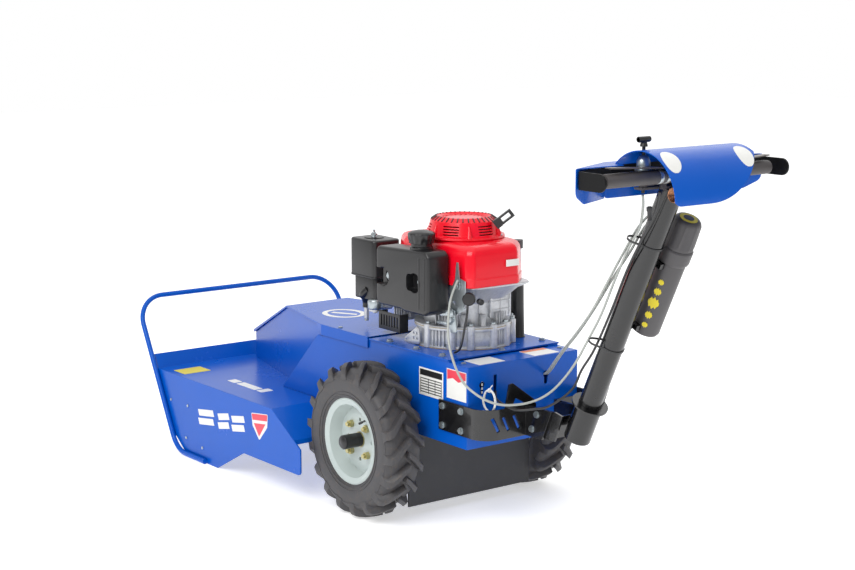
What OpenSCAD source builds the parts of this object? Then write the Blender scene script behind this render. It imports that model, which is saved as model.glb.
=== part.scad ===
// Walk-behind brush mower: vertical-shaft engine, belt-driven cutter deck, two powered wheels and a tiller handle.
// +X points forward, +Y to the machine's left, +Z up. Sizes are laid out from the wheel axle, then centred.

/* [Wheels] */
// Tyre diameter over the lugs
tyre_d = 410; // [400:1:412]
// Tyre width
tyre_w = 110; // [90:1:116]
// Height of the tread lugs
lug_h = 16; // [10:1:20]
// Lugs on each side of the tread
lug_count = 18; // [14:1:20]
// Diameter of the rim over its flanges
rim_d = 230; // [190:1:240]
// Distance between the centre planes of the wheels
track_w = 534; // [530:1:560]
// Axle diameter
axle_d = 25.4; // [20:0.1:30]
// Length of the axle end that stands out of the hub
axle_end_l = 66; // [40:1:70]
// Circle of the wheel studs
stud_pcd = 101.6; // [90:0.1:110]

/* [Deck] */
// Width of the deck over its side plates
deck_w = 704; // [700:1:760]
// Height of the deck's flat top
deck_z = 235; // [225:1:255]
// Sheet thickness of the deck
deck_sheet = 4; // [3:0.5:6]
// Length of the cutter blade
blade_l = 656; // [540:1:660]
// Height of the cutter blade
blade_z = 84; // [70:1:100]
// Distance of the cutter spindle in front of the axle
spindle_x = 560; // [555:1:565]

/* [Brush bar] */
// Diameter of the brush bar's rod
rod_d = 15; // [12:0.5:20]
// Height of the top of the brush bar
bar_top_z = 436; // [380:1:480]
// Distance of the brush bar's top in front of the axle
bar_top_x = 1073; // [1060:1:1090]
// Bend radius of the top corners
bar_bend_r = 87; // [60:1:120]

/* [Chassis] */
// Width over the chassis side plates
chassis_w = 364; // [350:1:372]
// Distance of the chassis' rear face behind the axle
chassis_back = 325; // [300:1:335]
// Height of the chassis' lower edge
chassis_z = 229; // [226:1:232]
// Height of the engine plate's top
engine_plate_z = 448; // [440:1:460]
// Sheet thickness of the chassis
sheet = 4; // [3:0.5:6]
// Height of the strap that guards the rear
guard_h = 78; // [60:1:90]

/* [Handle] */
// Outside diameter of the mast tube
mast_d = 57; // [50:1:60]
// Wall of the mast tube
mast_wall = 3; // [2:0.5:5]
// Height of the handlebar
grip_z = 961; // [950:1:990]
// Distance of the handlebar behind the axle
grip_back = 891; // [880:1:900]
// Width of the handlebar
grip_w = 518; // [480:1:540]
// Diameter of the handlebar's grips
grip_d = 30; // [26:1:34]
// Radius of the shield's rounded hump
hump_r = 109; // [100:1:112]
// Width of the shield's rounded hump
hump_w = 300; // [280:1:320]
// Diameter of the document tube
document_d = 68; // [60:1:74]

/* [Engine] */
// Distance of the crankshaft behind the axle
engine_back = 80; // [75:1:90]
// Crankcase diameter
crankcase_d = 264; // [240:1:280]
// Crankshaft diameter
crank_d = 25.4; // [20:0.1:28]
// Height of the top of the recoil starter's housing
starter_top_z = 785; // [780:1:800]

/* [Clearances] */
// Radial clearance of a turning shaft
run_gap = 0.05; // [0.02:0.01:0.1]
// Gap between parts that move past each other
pass_gap = 0.5; // [0.3:0.1:1]
// Radial clearance of a tube in its socket
slip_gap = 0.3; // [0.2:0.1:0.5]

/* [Hidden] */
$fn = 48;

blue = [0.02, 0.24, 0.75];
black = [0.09, 0.09, 0.10];
grey = [0.36, 0.35, 0.36];
zinc = [0.75, 0.77, 0.78];
cast = [0.74, 0.75, 0.77];
red = [0.86, 0.04, 0.10];
white = [0.87, 0.89, 0.88];

// the wheels
axle_z = tyre_d / 2;
tread_r = tyre_d / 2 - lug_h;
rim_r = rim_d / 2;
rim_w = tyre_w - 10;
bead_r = rim_r - 14;
web_t = 6;
stud_r = 6;
hub_flange_r = stud_pcd / 2 + 16;
axle_r = axle_d / 2;
// the wheel's web stands outboard of its centre plane by this much
web_offset = 8;

// the deck
deck_half = deck_w / 2;
deck_back_x = 321;
deck_wall_slope = 87 / 142;
plate_back_x = 179;
rod_r = rod_d / 2;
bar_half = deck_half + rod_r;
bar_lean = 28.4;
bar_lean_run = tan(bar_lean);
bar_foot_x = bar_top_x - bar_lean_run * (bar_top_z - rod_r);
bar_foot_r = 80;
bar_foot_tangent = bar_foot_r * tan((90 - bar_lean) / 2);
bar_heel_x = 677;
front_wall_top_z = deck_z + 40;
front_wall_low_z = 130;
blade_t = 8;
spindle_r = 15;
housing_r = 42;

// the chassis
chassis_half = chassis_w / 2;
rear_lid_z = engine_plate_z - 7;
plate_rear_x = -251;
plate_front_x = 92;
tunnel_front_x = 926;
tunnel_top_x = 618;
hood_back_x = 97;
hood_taper_x = 320;
// half-widths of the tunnel at the places where its outline bends
tunnel_half_back = chassis_half - sheet - 1;
tunnel_half_top = 104;
tunnel_half_front = 26;
nose_z = 317;
hood_t = 3;
hood_top_z = engine_plate_z + hood_t;
guard_low_z = 263;
guard_t = 5;
guard_back_x = -(chassis_back + 73);
guard_bend_r = 50;
guard_front_x = -215;

// the mast leans back by this angle, and its axis passes through the foot point
mast_lean = atan(267 / 561);
mast_foot = [-544, 0, 299];
mast_top_l = 690;
mast_low_l = 18;
mast_r = mast_d / 2;
socket_r = mast_r + slip_gap + 5;
socket_low_l = -24;
socket_top_l = 80;

// the handle
grip_x = -grip_back;
grip_r = grip_d / 2;
grip_half = grip_w / 2;
hump_z = grip_z - 49;
shield_t = 2.5;
shield_z = grip_z + 25;
shield_back_x = grip_x + 51;
shield_front_x = grip_x + 123;
shield_wide = 295;
shield_narrow = 144;
guard_arm_y = 288;
lever_hinge_y = 62;
lever_pin_r = 5;
lever_lift = 3;
knob_pos = [grip_x + 12, 112, grip_z];
knob_rod_r = 4;
knob_x = knob_pos[0] + 18;

// the document tube hangs beside the mast, on its right, parallel to it
document_r = document_d / 2;
document_side = -(mast_r + document_r + 14);
document_back = 14;
document_low_l = 296;
document_l = 250;
document_cap_l = 76;

// the engine
engine_x = -engine_back;
crankcase_r = crankcase_d / 2;
crankcase_top_z = 620;
shroud_top_z = 728;
crank_r = crank_d / 2;
engine_pulley_r = 48;
blade_pulley_r = 75;
blade_belt_z = 335;
drive_belt_z = 285;
drive_pulley_r = 38;
transaxle_pulley_r = 50;
transaxle_input_x = 62;
belt_w = 13;
belt_h = 9;
idler_pivot = [185, -150];
idler_roll = [250, -98];
idler_l = norm(idler_roll - idler_pivot);
tank_back_x = -172;
tank_front_x = 56;
tank_in_y = 118;
tank_out_y = 188;
tank_low_z = 545;
tank_top_z = 711;
tank_neck_pos = [-97, 152];
tank_neck_r = 24;
tank_cap_r = 36;
air_back_x = 143;
air_front_x = 262;
air_out_y = 130;
air_t = 92;
starter_grip_pos = [-176, -26, 764];
filler_pos = [-127, -146, 0];
throttle_pivot = [-213, 124, 626];

shift_x = -(bar_top_x + rod_r + grip_x - hump_r - shield_t) / 2;

// ---- helpers ----
module piece(tint) translate([shift_x, 0, 0]) color(tint) children();

// a flat outline drawn as (x, z), standing between two y planes
module upright(y_low, y_high)
    translate([0, y_high, 0]) rotate([90, 0, 0]) linear_extrude(y_high - y_low) children();

// a flat outline drawn as (y, z), standing between two x planes
module crosswise(x_low, x_high)
    translate([x_low, 0, 0]) rotate([90, 0, 90]) linear_extrude(x_high - x_low) children();

// children drawn along +Z are carried to the mast's axis, with their origin at the mast's foot point
module on_mast(along = 0) translate(mast_foot) rotate([0, -mast_lean, 0]) translate([0, 0, along]) children();

module ring(r_out, r_in, h) difference() {
    cylinder(h = h, r = r_out);
    translate([0, 0, -1]) cylinder(h = h + 2, r = r_in);
}

module bolt(r, head) {
    cylinder(h = head, r = r * 1.9, $fn = 6);
    cylinder(h = 1.5, r = r * 2.3);
}

module rounded_box(size, r) linear_extrude(size[2]) rounded_rect(size[0], size[1], r);

module rounded_rect(w, d, r) union() {
    square([w - 2 * r, d], center = true);
    square([w, d - 2 * r], center = true);
    for (sx = [-1, 1], sy = [-1, 1]) translate([sx * (w / 2 - r), sy * (d / 2 - r)]) circle(r);
}

// round tube swept along a route: rings of `sides` points round each point of the route
function unit(v) = v / norm(v);
function route_dir(p, i) = unit(p[min(i + 1, len(p) - 1)] - p[max(i - 1, 0)]);
function side_of(t) = unit(cross(t, abs(t[2]) > 0.8 ? [0, 1, 0] : [0, 0, 1]));
function smooth_point(a, b, c, d, t) =
    0.5 * (2 * b + (c - a) * t + (2 * a - 5 * b + 4 * c - d) * t * t + (3 * b - a - 3 * c + d) * t * t * t);
function smooth_route(p, n) = concat(
    [for (i = [0:len(p) - 2], k = [0:n - 1])
        smooth_point(p[max(i - 1, 0)], p[i], p[i + 1], p[min(i + 2, len(p) - 1)], k / n)],
    [p[len(p) - 1]]);
function ring_points(p, i, r, sides) =
    let (t = route_dir(p, i), u = side_of(t), v = cross(t, u))
    [for (k = [0:sides - 1]) p[i] + r * (cos(360 * k / sides) * u + sin(360 * k / sides) * v)];
module cable(route, r, sides = 8, steps = 4) {
    p = smooth_route(route, steps);
    n = len(p);
    points = [for (i = [0:n - 1]) each ring_points(p, i, r, sides)];
    walls = [for (i = [0:n - 2], k = [0:sides - 1])
        [i * sides + k, (i + 1) * sides + k, (i + 1) * sides + (k + 1) % sides, i * sides + (k + 1) % sides]];
    ends = [[for (k = [0:sides - 1]) k], [for (k = [sides - 1:-1:0]) (n - 1) * sides + k]];
    polyhedron(points, concat(walls, ends), convexity = 8);
}

// ---- wheels ----
// A wheel lies along +Y: drawn with its axis on Z and its outer face up, then turned out to its side.
module wheel_side(side) translate([0, side * track_w / 2, axle_z]) rotate([-90 * side, 0, 0]) children();

module tyre() {
    half = tyre_w / 2;
    rotate_extrude($fn = 96) polygon([
        [bead_r + 0.2, -rim_w / 2 + 7], [rim_r - 2, -rim_w / 2 + 7], [rim_r + 6, -half + 3],
        [rim_r + 30, -half], [tread_r - 30, -half + 1], [tread_r - 8, -half + 8], [tread_r, -half + 24],
        [tread_r + 2, 0], [tread_r, half - 24], [tread_r - 8, half - 8], [tread_r - 30, half - 1],
        [rim_r + 30, half], [rim_r + 6, half - 3], [rim_r - 2, rim_w / 2 - 7], [bead_r + 0.2, rim_w / 2 - 7]
    ]);
    intersection() {
        cylinder(h = tyre_w, r = tyre_d / 2, center = true, $fn = 96);
        for (side = [-1, 1], i = [0:lug_count - 1])
            rotate([0, 0, (i + (side + 1) / 4) * 360 / lug_count])
                translate([tread_r - 12, 0, side * tyre_w / 4]) rotate([side * 32, 0, 0])
                    translate([0, -11, -tyre_w / 4]) cube([lug_h + 20, 22, tyre_w / 2 - 5]);
    }
}

module rim() difference() {
    rotate_extrude($fn = 96) polygon([
        [bead_r - 4, -rim_w / 2 + 5], [rim_r - 4, -rim_w / 2], [rim_r, -rim_w / 2 + 2], [rim_r - 3, -rim_w / 2 + 6.6],
        [bead_r, -rim_w / 2 + 6.8], [bead_r, -14], [bead_r - 12, -8], [bead_r - 12, 8], [bead_r, 14],
        [bead_r, rim_w / 2 - 6.8], [rim_r - 3, rim_w / 2 - 6.6], [rim_r, rim_w / 2 - 2], [rim_r - 4, rim_w / 2],
        [bead_r - 4, rim_w / 2 - 5], [bead_r - 16, 12], [bead_r - 34, web_offset + web_t],
        [axle_r + 8, web_offset + web_t], [axle_r + 8, web_offset], [bead_r - 34, web_offset],
        [bead_r - 16, -10], [bead_r - 4, -16]
    ]);
    for (a = [45:90:315]) rotate([0, 0, a]) translate([stud_pcd / 2, 0, web_offset - 1])
        cylinder(h = web_t + 2, r = stud_r + slip_gap);
    for (a = [0:90:270]) rotate([0, 0, a]) translate([stud_pcd / 2 + 2, 0, web_offset + web_t / 2])
        cube([9, 9, web_t + 2], center = true);
}

// hub with its flange behind the web, four studs and nuts, and the cap on the axle's end
module hub() {
    difference() {
        union() {
            translate([0, 0, web_offset - 8]) cylinder(h = 8, r = hub_flange_r);
            translate([0, 0, -tyre_w / 2 - 8]) cylinder(h = tyre_w / 2 + 8, r = axle_r + 8);
            translate([0, 0, web_offset - 1]) cylinder(h = web_t + 3, r = axle_r + 7.5);
        }
        translate([0, 0, -tyre_w]) cylinder(h = 2 * tyre_w, r = axle_r);
    }
    for (a = [45:90:315]) rotate([0, 0, a]) translate([stud_pcd / 2, 0, 0]) {
        translate([0, 0, web_offset - 2]) cylinder(h = web_t + 20, r = stud_r);
        translate([0, 0, web_offset + web_t]) cylinder(h = 11, r = 10.5, $fn = 6);
    }
}

// half shaft, running from inside the transaxle to the axle's end, with its rubber cap
module half_axle() {
    inner = -(track_w / 2 - 72);
    translate([0, 0, inner]) cylinder(h = -inner + axle_end_l, r = axle_r);
    translate([0, 0, web_offset + web_t + 2]) ring(axle_r + 6, axle_r - 1, axle_end_l - web_offset - web_t);
    translate([0, 0, axle_end_l]) cylinder(h = 6, r1 = axle_r + 6, r2 = axle_r + 1, $fn = 40);
}

module axle_left() piece(black) wheel_side(1) half_axle();
module axle_right() piece(black) wheel_side(-1) half_axle();
module hub_left() piece(zinc) wheel_side(1) hub();
module hub_right() piece(zinc) wheel_side(-1) hub();
module rim_left() piece(white) wheel_side(1) rim();
module rim_right() piece(white) wheel_side(-1) rim();
module tyre_left() piece(black) wheel_side(1) tyre();
module tyre_right() piece(black) wheel_side(-1) tyre();

// ---- transaxle ----
module transaxle() piece(cast) difference() {
    union() {
        translate([-12, 0, axle_z - 38]) rotate([90, 0, 0]) cylinder(h = 150, r = 58, center = true);
        translate([transaxle_input_x - 45, -60, axle_z - 50]) cube([80, 120, 70]);
        translate([0, 0, axle_z]) rotate([90, 0, 0]) cylinder(h = track_w - 138, r = axle_r + 9, center = true);
        for (side = [-1, 1]) translate([-62, side * 150 - 15, axle_z - 14]) cube([180, 30, chassis_z - axle_z + 14]);
        translate([transaxle_input_x, 0, axle_z]) cylinder(h = drive_belt_z - axle_z - 17, r = 20);
    }
    translate([0, 0, axle_z]) rotate([90, 0, 0]) cylinder(h = track_w, r = axle_r + run_gap, center = true);
    translate([transaxle_input_x, 0, axle_z + 30]) cylinder(h = 120, r = 9 + run_gap);
}
module v_pulley(r, w, bore_r) difference() {
    rotate_extrude($fn = 72) polygon([
        [bore_r, -w / 2], [r, -w / 2], [r, -w / 2 + 2], [r - belt_h, -w / 2 + 4.5], [r - belt_h, w / 2 - 4.5],
        [r, w / 2 - 2], [r, w / 2], [bore_r, w / 2]
    ]);
}

module transaxle_pulley() piece(grey) translate([transaxle_input_x, 0, drive_belt_z]) {
    v_pulley(transaxle_pulley_r, belt_w + 5, 9);
    translate([0, 0, axle_z + 32 - drive_belt_z]) cylinder(h = drive_belt_z - axle_z - 20, r = 9);
}

// belt loop between two round pulleys: a flat band that rides clear of the sheaves' roots
module belt(x1, r1, x2, r2, z) translate([0, 0, z - belt_w / 2 + 2.5]) linear_extrude(belt_w - 5) difference() {
    belt_outline(x1, r1 + 2, x2, r2 + 2);
    belt_outline(x1, r1 - belt_h + pass_gap, x2, r2 - belt_h + pass_gap);
}
module belt_outline(x1, r1, x2, r2) hull() {
    translate([x1, 0]) circle(r1, $fn = 72);
    translate([x2, 0]) circle(r2, $fn = 72);
}
module blade_belt() piece(black) belt(engine_x, engine_pulley_r, spindle_x, blade_pulley_r, blade_belt_z);
module drive_belt() piece(black) belt(engine_x, drive_pulley_r, transaxle_input_x, transaxle_pulley_r, drive_belt_z);

// spring-loaded arm whose flat roller tightens the blade belt; its tail passes behind the rear slot's rod
module idler_arm() piece(zinc) {
    translate([idler_pivot[0], idler_pivot[1], blade_belt_z + 12]) {
        ring(16, 6 + run_gap, 6);
        rotate([0, 0, atan2(idler_roll[1] - idler_pivot[1], idler_roll[0] - idler_pivot[0])])
            translate([11, -9, 0.5]) cube([idler_l, 18, 5]);
    }
    translate([idler_roll[0], idler_roll[1], blade_belt_z - 9]) {
        cylinder(h = 18, r = 20);
        cylinder(h = 29, r = 7);
    }
}
// ---- cutter ----
module spindle_housing() piece(cast) translate([spindle_x, 0, 0]) difference() {
    union() {
        translate([0, 0, deck_z]) cylinder(h = 12, r = 82);
        translate([0, 0, deck_z - 70]) cylinder(h = 130, r = housing_r);
        for (a = [0:60:300]) rotate([0, 0, a]) translate([0, -4, deck_z + 12]) cube([76, 8, 26]);
        for (a = [30:60:330]) rotate([0, 0, a]) translate([68, 0, deck_z + 12]) bolt(5, 7);
    }
    cylinder(h = 400, r = spindle_r + run_gap);
}
module blade_spindle() piece(zinc) translate([spindle_x, 0, 0]) {
    translate([0, 0, blade_z - 14]) cylinder(h = blade_belt_z + 36 - blade_z, r = spindle_r);
    translate([0, 0, blade_z + blade_t]) cylinder(h = deck_z - 71 - blade_z - blade_t, r = 38);
    translate([0, 0, blade_belt_z]) v_pulley(blade_pulley_r, belt_w + 5, spindle_r - 0.5);
    translate([0, 0, blade_z - 14]) cylinder(h = 14, r = 21, $fn = 6);
}
module cutter_blade() piece(grey) translate([spindle_x, 0, blade_z]) difference() {
    intersection() {
        cylinder(h = blade_t, r = blade_l / 2, $fn = 96);
        linear_extrude(blade_t) polygon([[38, 90 - blade_l / 2], [38, blade_l / 2], [-6, blade_l / 2],
            [-38, blade_l / 2 - 90], [-38, -blade_l / 2], [6, -blade_l / 2]]);
    }
    translate([0, 0, -1]) cylinder(h = blade_t + 2, r = spindle_r);
}

// ---- deck and brush bar ----
function lean_x(z) = bar_top_x - bar_lean_run * (bar_top_z - z);

module deck_plate_outline() difference() {
    polygon([
        [plate_back_x, 76], [473, 76], [619, 0], [bar_foot_x - bar_foot_tangent, 0],
        [lean_x(50), 50], [lean_x(deck_z), deck_z], [deck_back_x, deck_z],
        [plate_back_x, deck_z - deck_wall_slope * (deck_back_x - plate_back_x)]
    ]);
    translate([plate_back_x, 76]) difference() {
        translate([-1, -1]) square(13);
        translate([12, 12]) circle(12);
    }
}
module cutting_deck() piece(blue) difference() {
    union() {
        for (side = [-1, 1])
            upright(side > 0 ? deck_half - deck_sheet : -deck_half, side > 0 ? deck_half : -deck_half + deck_sheet)
                deck_plate_outline();
        translate([deck_back_x, -deck_half, deck_z - deck_sheet])
            cube([lean_x(deck_z) - deck_back_x, deck_w, deck_sheet]);
        upright(-deck_half + 1, deck_half - 1) polygon([
            [deck_back_x, deck_z], [deck_back_x, deck_z - 1.2 * deck_sheet], [216, 166], [210, 155], [206, 157], [211, 168]
        ]);
        upright(-deck_half + 1, deck_half - 1) polygon([
            [lean_x(front_wall_low_z), front_wall_low_z], [lean_x(front_wall_top_z), front_wall_top_z],
            [lean_x(front_wall_top_z) - deck_sheet, front_wall_top_z],
            [lean_x(front_wall_low_z) - deck_sheet, front_wall_low_z]
        ]);
    }
    translate([spindle_x, 0, deck_z - 20]) cylinder(h = 40, r = housing_r + slip_gap);
}

// one rod, bent twice at the top and once at each foot, welded along the side plates' front edges
module brush_bar() piece(blue) {
    // each bend is a hair slimmer than the straight rod, so that its ends are buried in the rod
    leg_l = (bar_top_z - rod_r) / cos(bar_lean);
    bend_rod_r = rod_r - 0.2;
    bury = 3;
    translate([bar_top_x, 0, bar_top_z]) rotate([0, bar_lean, 0]) {
        rotate([90, 0, 0]) cylinder(h = 2 * (bar_half - bar_bend_r + bury), r = rod_r, center = true);
        for (side = [-1, 1]) {
            translate([0, side * bar_half, -(leg_l - bar_foot_tangent) - bury])
                cylinder(h = leg_l - bar_foot_tangent - bar_bend_r + 2 * bury, r = rod_r);
            translate([0, side * (bar_half - bar_bend_r), -bar_bend_r]) rotate([90, 0, 90]) rotate([0, 0, side > 0 ? 0 : 90])
                rotate_extrude(angle = 90, $fn = 64) translate([bar_bend_r, 0]) circle(bend_rod_r, $fn = 24);
        }
    }
    for (side = [-1, 1]) translate([0, side * bar_half, 0]) {
        translate([bar_heel_x, 0, rod_r]) rotate([0, 90, 0])
            cylinder(h = bar_foot_x - bar_foot_tangent - bar_heel_x + bury, r = rod_r);
        translate([bar_foot_x - bar_foot_tangent, 0, rod_r + bar_foot_r]) rotate([90, 0, 0]) rotate([0, 0, -90])
            rotate_extrude(angle = 90 - bar_lean, $fn = 64) translate([bar_foot_r, 0]) circle(bend_rod_r, $fn = 24);
    }
}

// ---- chassis ----
module main_frame() piece(blue) {
    for (side = [-1, 1]) difference() {
        upright(side > 0 ? chassis_half - sheet : -chassis_half, side > 0 ? chassis_half : -chassis_half + sheet)
            polygon([
                [-chassis_back, chassis_z], [304, chassis_z], [deck_back_x - 4, deck_z + 1], [528, deck_z + 1],
                [345, engine_plate_z - 31], [hood_taper_x - 2, engine_plate_z - 31],
                [hood_taper_x - 2, engine_plate_z - sheet], [plate_rear_x, engine_plate_z - sheet],
                [plate_rear_x, rear_lid_z - hood_t], [-chassis_back, rear_lid_z - hood_t]
            ]);
        translate([0, side * chassis_half, axle_z]) rotate([90, 0, 0]) cylinder(h = 30, r = 30, center = true);
    }
    // rear cross wall, low front and rear cross members that carry the transaxle, and the bed of the engine plate
    translate([-chassis_back, -chassis_half, chassis_z]) cube([sheet, chassis_w, 104]);
    translate([-chassis_back, -chassis_half + 1, chassis_z]) cube([150, chassis_w - 2, sheet]);
    for (x = [-60, 90]) translate([x, -chassis_half + 1, chassis_z]) cube([25, chassis_w - 2, 18]);
    translate([150, -chassis_half + 1, chassis_z]) cube([140, chassis_w - 2, sheet]);
    for (side = [-1, 1]) translate([plate_rear_x, side > 0 ? chassis_half - 34 : -chassis_half + 1, engine_plate_z - 2 * sheet])
        cube([plate_front_x - plate_rear_x, 33, sheet]);
    translate([idler_pivot[0], idler_pivot[1], chassis_z]) cylinder(h = blade_belt_z + 20 - chassis_z, r = 6);
    translate([idler_pivot[0], idler_pivot[1], chassis_z]) cylinder(h = blade_belt_z + 11.5 - chassis_z, r = 12);
}
module engine_plate() piece(blue) difference() {
    translate([plate_rear_x, -chassis_half - 4, engine_plate_z - sheet])
        cube([plate_front_x - plate_rear_x, chassis_w + 8, sheet]);
    translate([engine_x, 0, 0]) cylinder(h = 600, r = 60);
}
module rear_cover() piece(blue) difference() {
    union() {
        translate([-chassis_back - sheet, -chassis_half, rear_lid_z - hood_t])
            cube([plate_rear_x + chassis_back + sheet - 0.5, chassis_w, hood_t]);
        translate([-chassis_back - sheet, -chassis_half, chassis_z + 80])
            cube([sheet - 0.2, chassis_w, rear_lid_z - chassis_z - 81]);
    }
    // blade tension slot, brake cable keyhole and drive cable keyhole
    crosswise(-chassis_back - 20, -chassis_back + 20) {
        translate([89, 330]) square([11, 82]);
        for (k = [[137, 391], [-74, 391]]) translate(k) {
            circle(9);
            translate([-6, -20]) square([12, 20]);
            translate([0, -20]) circle(6);
        }
    }
}

// tapered side walls and nose that carry the belt run over the deck
module tunnel_plan(inset) polygon([
    [hood_taper_x - 40, tunnel_half_back - inset], [hood_taper_x + 2, tunnel_half_back - inset],
    [tunnel_top_x, tunnel_half_top - inset], [tunnel_front_x - inset, tunnel_half_front - inset / 2],
    [tunnel_front_x - inset, -tunnel_half_front + inset / 2], [tunnel_top_x, -tunnel_half_top + inset],
    [hood_taper_x + 2, -tunnel_half_back + inset], [hood_taper_x - 40, -tunnel_half_back + inset]
]);
module belt_tunnel() piece(blue) intersection() {
    difference() {
        translate([0, 0, deck_z + 0.1]) linear_extrude(engine_plate_z - deck_z) tunnel_plan(0);
        translate([0, 0, deck_z - 1]) linear_extrude(400) union() {
            tunnel_plan(sheet);
            translate([hood_taper_x - 60, -tunnel_half_back + sheet])
                square([60, 2 * (tunnel_half_back - sheet)]);
        }
    }
    upright(-200, 200) polygon([
        [hood_taper_x - 40, deck_z], [tunnel_front_x, deck_z], [tunnel_front_x, nose_z],
        [tunnel_top_x, engine_plate_z], [hood_taper_x - 40, engine_plate_z]
    ]);
}
// cover over the belts: flat top, tapered sloping nose and turned-down sides
module hood_plan(grow) polygon([
    [hood_back_x, chassis_half + grow], [hood_taper_x, chassis_half + grow], [tunnel_top_x, tunnel_half_top + grow],
    [tunnel_front_x + grow, tunnel_half_front + grow], [tunnel_front_x + grow, -tunnel_half_front - grow],
    [tunnel_top_x, -tunnel_half_top - grow], [hood_taper_x, -chassis_half - grow], [hood_back_x, -chassis_half - grow]
]);
module hood_side(drop) polygon([
    [hood_back_x - 5, hood_top_z - 30], [hood_taper_x, hood_top_z - 30], [hood_taper_x + 40, hood_top_z - 5 - drop],
    [tunnel_top_x, hood_top_z - 5 - drop], [tunnel_front_x + 9, nose_z - 5 - drop],
    [tunnel_front_x + 9, nose_z + 3 - drop], [tunnel_top_x + 1, hood_top_z - drop], [hood_back_x - 5, hood_top_z - drop]
]);
module belt_hood() piece(blue) difference() {
    intersection() {
        linear_extrude(600) hood_plan(5);
        upright(-250, 250) hood_side(0);
    }
    intersection() {
        linear_extrude(600) hood_plan(1);
        upright(-250, 250) polygon([
            [hood_back_x - 10, 200], [tunnel_front_x + 1, 200], [tunnel_front_x + 1, nose_z + 0.6],
            [tunnel_top_x + 0.5, engine_plate_z + 0.6], [hood_back_x - 10, engine_plate_z + 0.6]
        ]);
    }
}
module flap_bracket() piece(black) {
    translate([-107, -205, chassis_z - 36]) cube([5, 410, 35]);
    translate([-107, -150, chassis_z - 5]) cube([40, 22, 4.5]);
    translate([-107, 128, chassis_z - 5]) cube([40, 22, 4.5]);
    for (y = [-180, -60, 60, 180]) translate([-107, y, chassis_z - 18]) rotate([0, -90, 0]) translate([0, 0, 5]) bolt(4, 6);
}
module rear_flap() piece(black) translate([-112, -205, 33]) cube([5, 410, chassis_z - 34]);

// strap bolted to both sides, carried round the rear corners and turned back along the mast socket
module guard_plan() {
    edge = chassis_half + guard_t;
    for (side = [0, 1]) mirror([0, side]) {
        translate([guard_back_x + guard_bend_r, chassis_half]) square([guard_front_x - guard_back_x - guard_bend_r, guard_t]);
        translate([guard_back_x + guard_bend_r, edge - guard_bend_r]) intersection() {
            difference() {
                circle(guard_bend_r, $fn = 72);
                circle(guard_bend_r - guard_t, $fn = 72);
            }
            translate([-guard_bend_r, 0]) square([guard_bend_r, guard_bend_r]);
        }
        translate([guard_back_x, 46]) square([guard_t, edge - guard_bend_r - 46]);
    }
}
module rear_guard() piece(black) {
    difference() {
        translate([0, 0, guard_low_z]) linear_extrude(guard_h) guard_plan();
        for (y = [82, 116, 148]) translate([guard_back_x + 10, y, guard_low_z + guard_h / 2]) rotate([-26, 0, 0])
            cube([60, 9, 40], center = true);
        for (y = [-82, -116, -148]) translate([guard_back_x + 10, y, guard_low_z + guard_h / 2]) rotate([26, 0, 0])
            cube([60, 9, 40], center = true);
    }
    difference() {
        crosswise(guard_back_x, guard_back_x + guard_t)
            polygon([[118, guard_low_z + guard_h - 4], [106, 400], [94, 402], [24, 352], [20, guard_low_z + guard_h - 4]]);
        crosswise(guard_back_x - 5, guard_back_x + 20) polygon([[94, 346], [86, 364], [54, 346]]);
    }
    crosswise(guard_back_x, guard_back_x + guard_t) translate([18, guard_low_z]) square([40, guard_h]);
    for (side = [-1, 1]) upright(side * 49 - 2.5, side * 49 + 2.5) polygon([
        [guard_back_x, guard_low_z], [guard_back_x - 62, guard_low_z], [guard_back_x - 97, guard_low_z + guard_h],
        [guard_back_x, guard_low_z + guard_h]
    ]);
}

// ---- mast ----
module mast_socket() piece(black) {
    difference() {
        union() {
            on_mast(socket_low_l) cylinder(h = socket_top_l - socket_low_l, r = socket_r);
            on_mast(socket_top_l - 4) cylinder(h = 5, r = socket_r + 12);
            upright(40, 45.9) polygon([[-410, 266], [-500, 266], [-528, 335], [-500, 341], [-410, 338]]);
            upright(-45.9, -40) polygon([[-410, 266], [-500, 266], [-560, 318], [-597, 410], [-566, 410], [-500, 345],
                [-410, 338]]);
            upright(-41, 41) polygon([[-478, 268], [-483, 268], [-509, 330], [-504, 330]]);
        }
        on_mast(-200) cylinder(h = 600, r = mast_r + slip_gap);
    }
}
module mast_tube() piece(black) on_mast(mast_low_l) ring(mast_r, mast_r - mast_wall, mast_top_l - mast_low_l);

// ---- handle ----
module handlebar() piece(grey) {
    difference() {
        union() {
            translate([grip_x, 0, grip_z]) rotate([90, 0, 0]) cylinder(h = grip_w, r = grip_r, center = true);
            on_mast(mast_top_l) cylinder(h = 6, r = mast_r);
            upright(-22, 22) polygon([[grip_x - 6, grip_z - 20], [grip_x + 62, grip_z - 52], [grip_x + 30, grip_z],
                [grip_x - 6, grip_z + 5]]);
            // cross plate that carries the guard, the knob's bush and the lever pins
            translate([grip_x + 10, -60, grip_z - 30]) cube([107, 120, 5]);
            translate([grip_x + 10, -20, grip_z - 30]) cube([50, 40, 24]);
            translate([knob_pos[0] + 6, knob_pos[1] - 60, grip_z - 30]) cube([26, 74, 5]);
            translate([knob_x, knob_pos[1], grip_z - 30]) cylinder(h = 50, r = 10);
            for (side = [-1, 1]) {
                translate([grip_x + 8, side * lever_hinge_y - (side > 0 ? 2 : 14), grip_z - 30]) cube([6, 16, 57]);
                translate([grip_x - 20, side * lever_hinge_y, grip_z + 26]) rotate([0, 90, 0])
                    cylinder(h = 34, r = lever_pin_r);
            }
        }
        on_mast(mast_top_l - 200) cylinder(h = 200, r = mast_r + 0.2);
        translate([knob_x, knob_pos[1], grip_z - 40]) cylinder(h = 90, r = knob_rod_r + run_gap);
    }
}
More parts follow.
